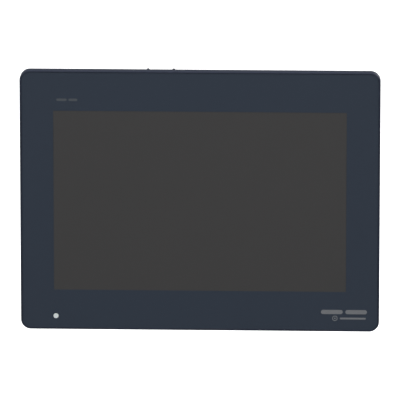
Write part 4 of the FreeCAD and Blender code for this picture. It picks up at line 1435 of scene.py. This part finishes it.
        # Each stroke is its width, its height, its X and its place over the signs' line, in millimetres.
        strokes = [(2.6, 0.5, -74.9, 0.0), (0.5, 1.0, -74.9, 0.8), (0.5, 1.0, -74.9, -0.8),
                   (2.6, 0.5, -80.0, 0.0)]
        for x in (-85.1, -60.0):
            strokes += [(0.5, 1.6, x, 1.2), (2.8, 0.45, x, 0.2), (1.8, 0.45, x, -0.6), (0.8, 0.45, x, -1.4)]
        shells = [soft_plate(width * MM, height * MM, 0.1 * MM, face + self.ink, face, self.ink / 6,
                             (x * MM, z + up * MM), steps=3) for width, height, x, up in strokes]
        make_piece("supply_signs", shells, self.palette["white_ink"], "panel")


@dataclass
class SideDoor:
    """The door on the box's side and what it covers."""

    palette: Palette

    def build(self) -> None:
        """Dresses the door, the card, the switches and the reset button."""
        p = self.palette
        dress(p["rear_plastic"], "card_door")
        dress(p["tin_shell"], "card_socket")
        dress(p["card_plastic"], "memory_card")
        dress(p["switch_plastic"], "dip_switch")
        dress(p["button_plastic"], "reset_button", *(f"dip_slider_{k}" for k in range(1, 5)))


# ---------------------------------------------------------------------------------------------
# Studio
# ---------------------------------------------------------------------------------------------
@dataclass(frozen=True)
class SoftBox:
    """One large soft lamp, aimed at the panel's centre."""

    name: str
    place: tuple[float, float, float]
    size: float
    power: float

    def build(self) -> None:
        """Adds the lamp."""
        lamp = bpy.data.lights.new(self.name, "AREA")
        lamp.shape, lamp.size, lamp.energy = "SQUARE", self.size, self.power
        made = bpy.data.objects.new(self.name, lamp)
        made.location = self.place
        made.rotation_mode = "QUATERNION"
        made.rotation_quaternion = (-Vector(self.place)).to_track_quat("-Z", "Y")
        bpy.context.scene.collection.objects.link(made)


@dataclass
class Studio:
    """Floor, light and camera."""

    azimuth: float = 2.135
    elevation: float = 12.57
    distance: float = 4.354
    seen_width: float = 0.29665
    aim_right: float = 0.15 * MM
    aim_up: float = 1.27 * MM
    far: float = 200.0
    sky_rise: tuple[float, float] = (0.35, 1.0)
    sky_light: tuple[float, float] = (0.09, 0.95)
    floor_height: float = -0.42
    floor_size: float = 60.0
    floor_shade: Colour = (0.93, 0.93, 0.93)
    floor_glow: float = 0.45
    lamps: tuple[SoftBox, ...] = (
        SoftBox("key_lamp", (1.6, -2.2, 1.9), 1.8, 86.0),
        SoftBox("fill_lamp", (-2.2, -1.6, 1.0), 2.0, 40.0),
        SoftBox("back_left_lamp", (-2.4, 2.2, 0.7), 1.6, 46.0),
        SoftBox("back_right_lamp", (2.2, 2.4, 1.2), 1.8, 62.0),
        SoftBox("low_lamp", (0.3, 1.2, -2.2), 1.6, 26.0),
    )

    def build(self) -> None:
        """Adds the world, the floor, the lamps and the camera."""
        self._world()
        self._floor()
        for lamp in self.lamps:
            lamp.build()
        self._camera()
        bpy.context.scene.view_settings.view_transform = "Standard"

    def _world(self) -> None:
        """White to look at; as light, dim at the horizon and brighter overhead."""
        world = bpy.data.worlds.new("studio")
        bpy.context.scene.world = world
        world.use_nodes = True
        tree = Tree(world.node_tree)
        seen = tree.add("LightPath").outputs["Is Camera Ray"]
        aim = tree.add("SeparateXYZ", Vector=tree.add("TexCoord").outputs["Generated"])
        light = tree.remap(aim.outputs["Z"], *self.sky_rise, *self.sky_light)
        strength = tree.sum("MAXIMUM", seen, light)
        background = tree.add("Background", Color=(1.0, 1.0, 1.0), Strength=strength)
        out = tree.add("OutputWorld")
        tree.set(out.inputs["Surface"], background.outputs[0])

    def _floor(self) -> None:
        """A pale floor, seen only from above, that neither lights the panel nor shades it."""
        half = self.floor_size / 2
        corners = [(-half, -half), (half, -half), (half, half), (-half, half)]
        mesh = bpy.data.meshes.new("floor")
        mesh.from_pydata([(x, y, self.floor_height) for x, y in corners], [], [(0, 1, 2, 3)])
        material = bpy.data.materials.new("floor_paper")
        material.use_nodes = True
        tree = Tree(material.node_tree)
        paper = tree.add("BsdfDiffuse", Color=self.floor_shade)
        glow = tree.add("Emission", Color=(1.0, 1.0, 1.0), Strength=self.floor_glow)
        both, clear = tree.add("AddShader"), tree.add("BsdfTransparent")
        choose, out = tree.add("MixShader"), tree.add("OutputMaterial")
        for socket, value in (
                (both.inputs[0], paper.outputs[0]), (both.inputs[1], glow.outputs[0]),
                (choose.inputs[0], tree.add("NewGeometry").outputs["Backfacing"]),
                (choose.inputs[1], both.outputs[0]), (choose.inputs[2], clear.outputs[0]),
                (out.inputs["Surface"], choose.outputs[0])):
            tree.set(socket, value)
        mesh.materials.append(material)
        floor = bpy.data.objects.new("floor", mesh)
        floor.visible_diffuse = floor.visible_glossy = floor.visible_shadow = False
        bpy.context.scene.collection.objects.link(floor)

    def _camera(self) -> None:
        """A long lens, a little above and to the operator's right."""
        lens = bpy.data.cameras.new("camera")
        lens.lens = lens.sensor_width * self.distance / self.seen_width
        lens.clip_end = self.far
        camera = bpy.data.objects.new("camera", lens)
        turn, tilt = math.radians(self.azimuth), math.radians(self.elevation)
        back = Vector((math.sin(turn) * math.cos(tilt), -math.cos(turn) * math.cos(tilt), math.sin(tilt)))
        right = Vector((math.cos(turn), math.sin(turn), 0.0))
        target = Vector((0.0, CAD_LOW.y, 0.0)) + right * self.aim_right + right.cross(-back) * self.aim_up
        camera.location = target + back * self.distance
        camera.rotation_mode = "QUATERNION"
        camera.rotation_quaternion = (-back).to_track_quat("-Z", "Y")
        bpy.context.scene.collection.objects.link(camera)
        bpy.context.scene.camera = camera


def main() -> None:
    """Builds the panel's sub-assemblies in order, then the studio."""
    logging.basicConfig(level=logging.INFO, format="%(name)s: %(message)s")
    palette = Palette(Effects())
    parts = (FrontPanel(palette), DisplayStack(palette), RearCase(palette), DoorClamps(palette),
             ComputerBox(palette), PortRow(palette), SideDoor(palette))
    for part in parts:
        LOG.info("building %s", type(part).__name__)
        part.build()
    Studio().build()


if __name__ == "__main__":
    main()
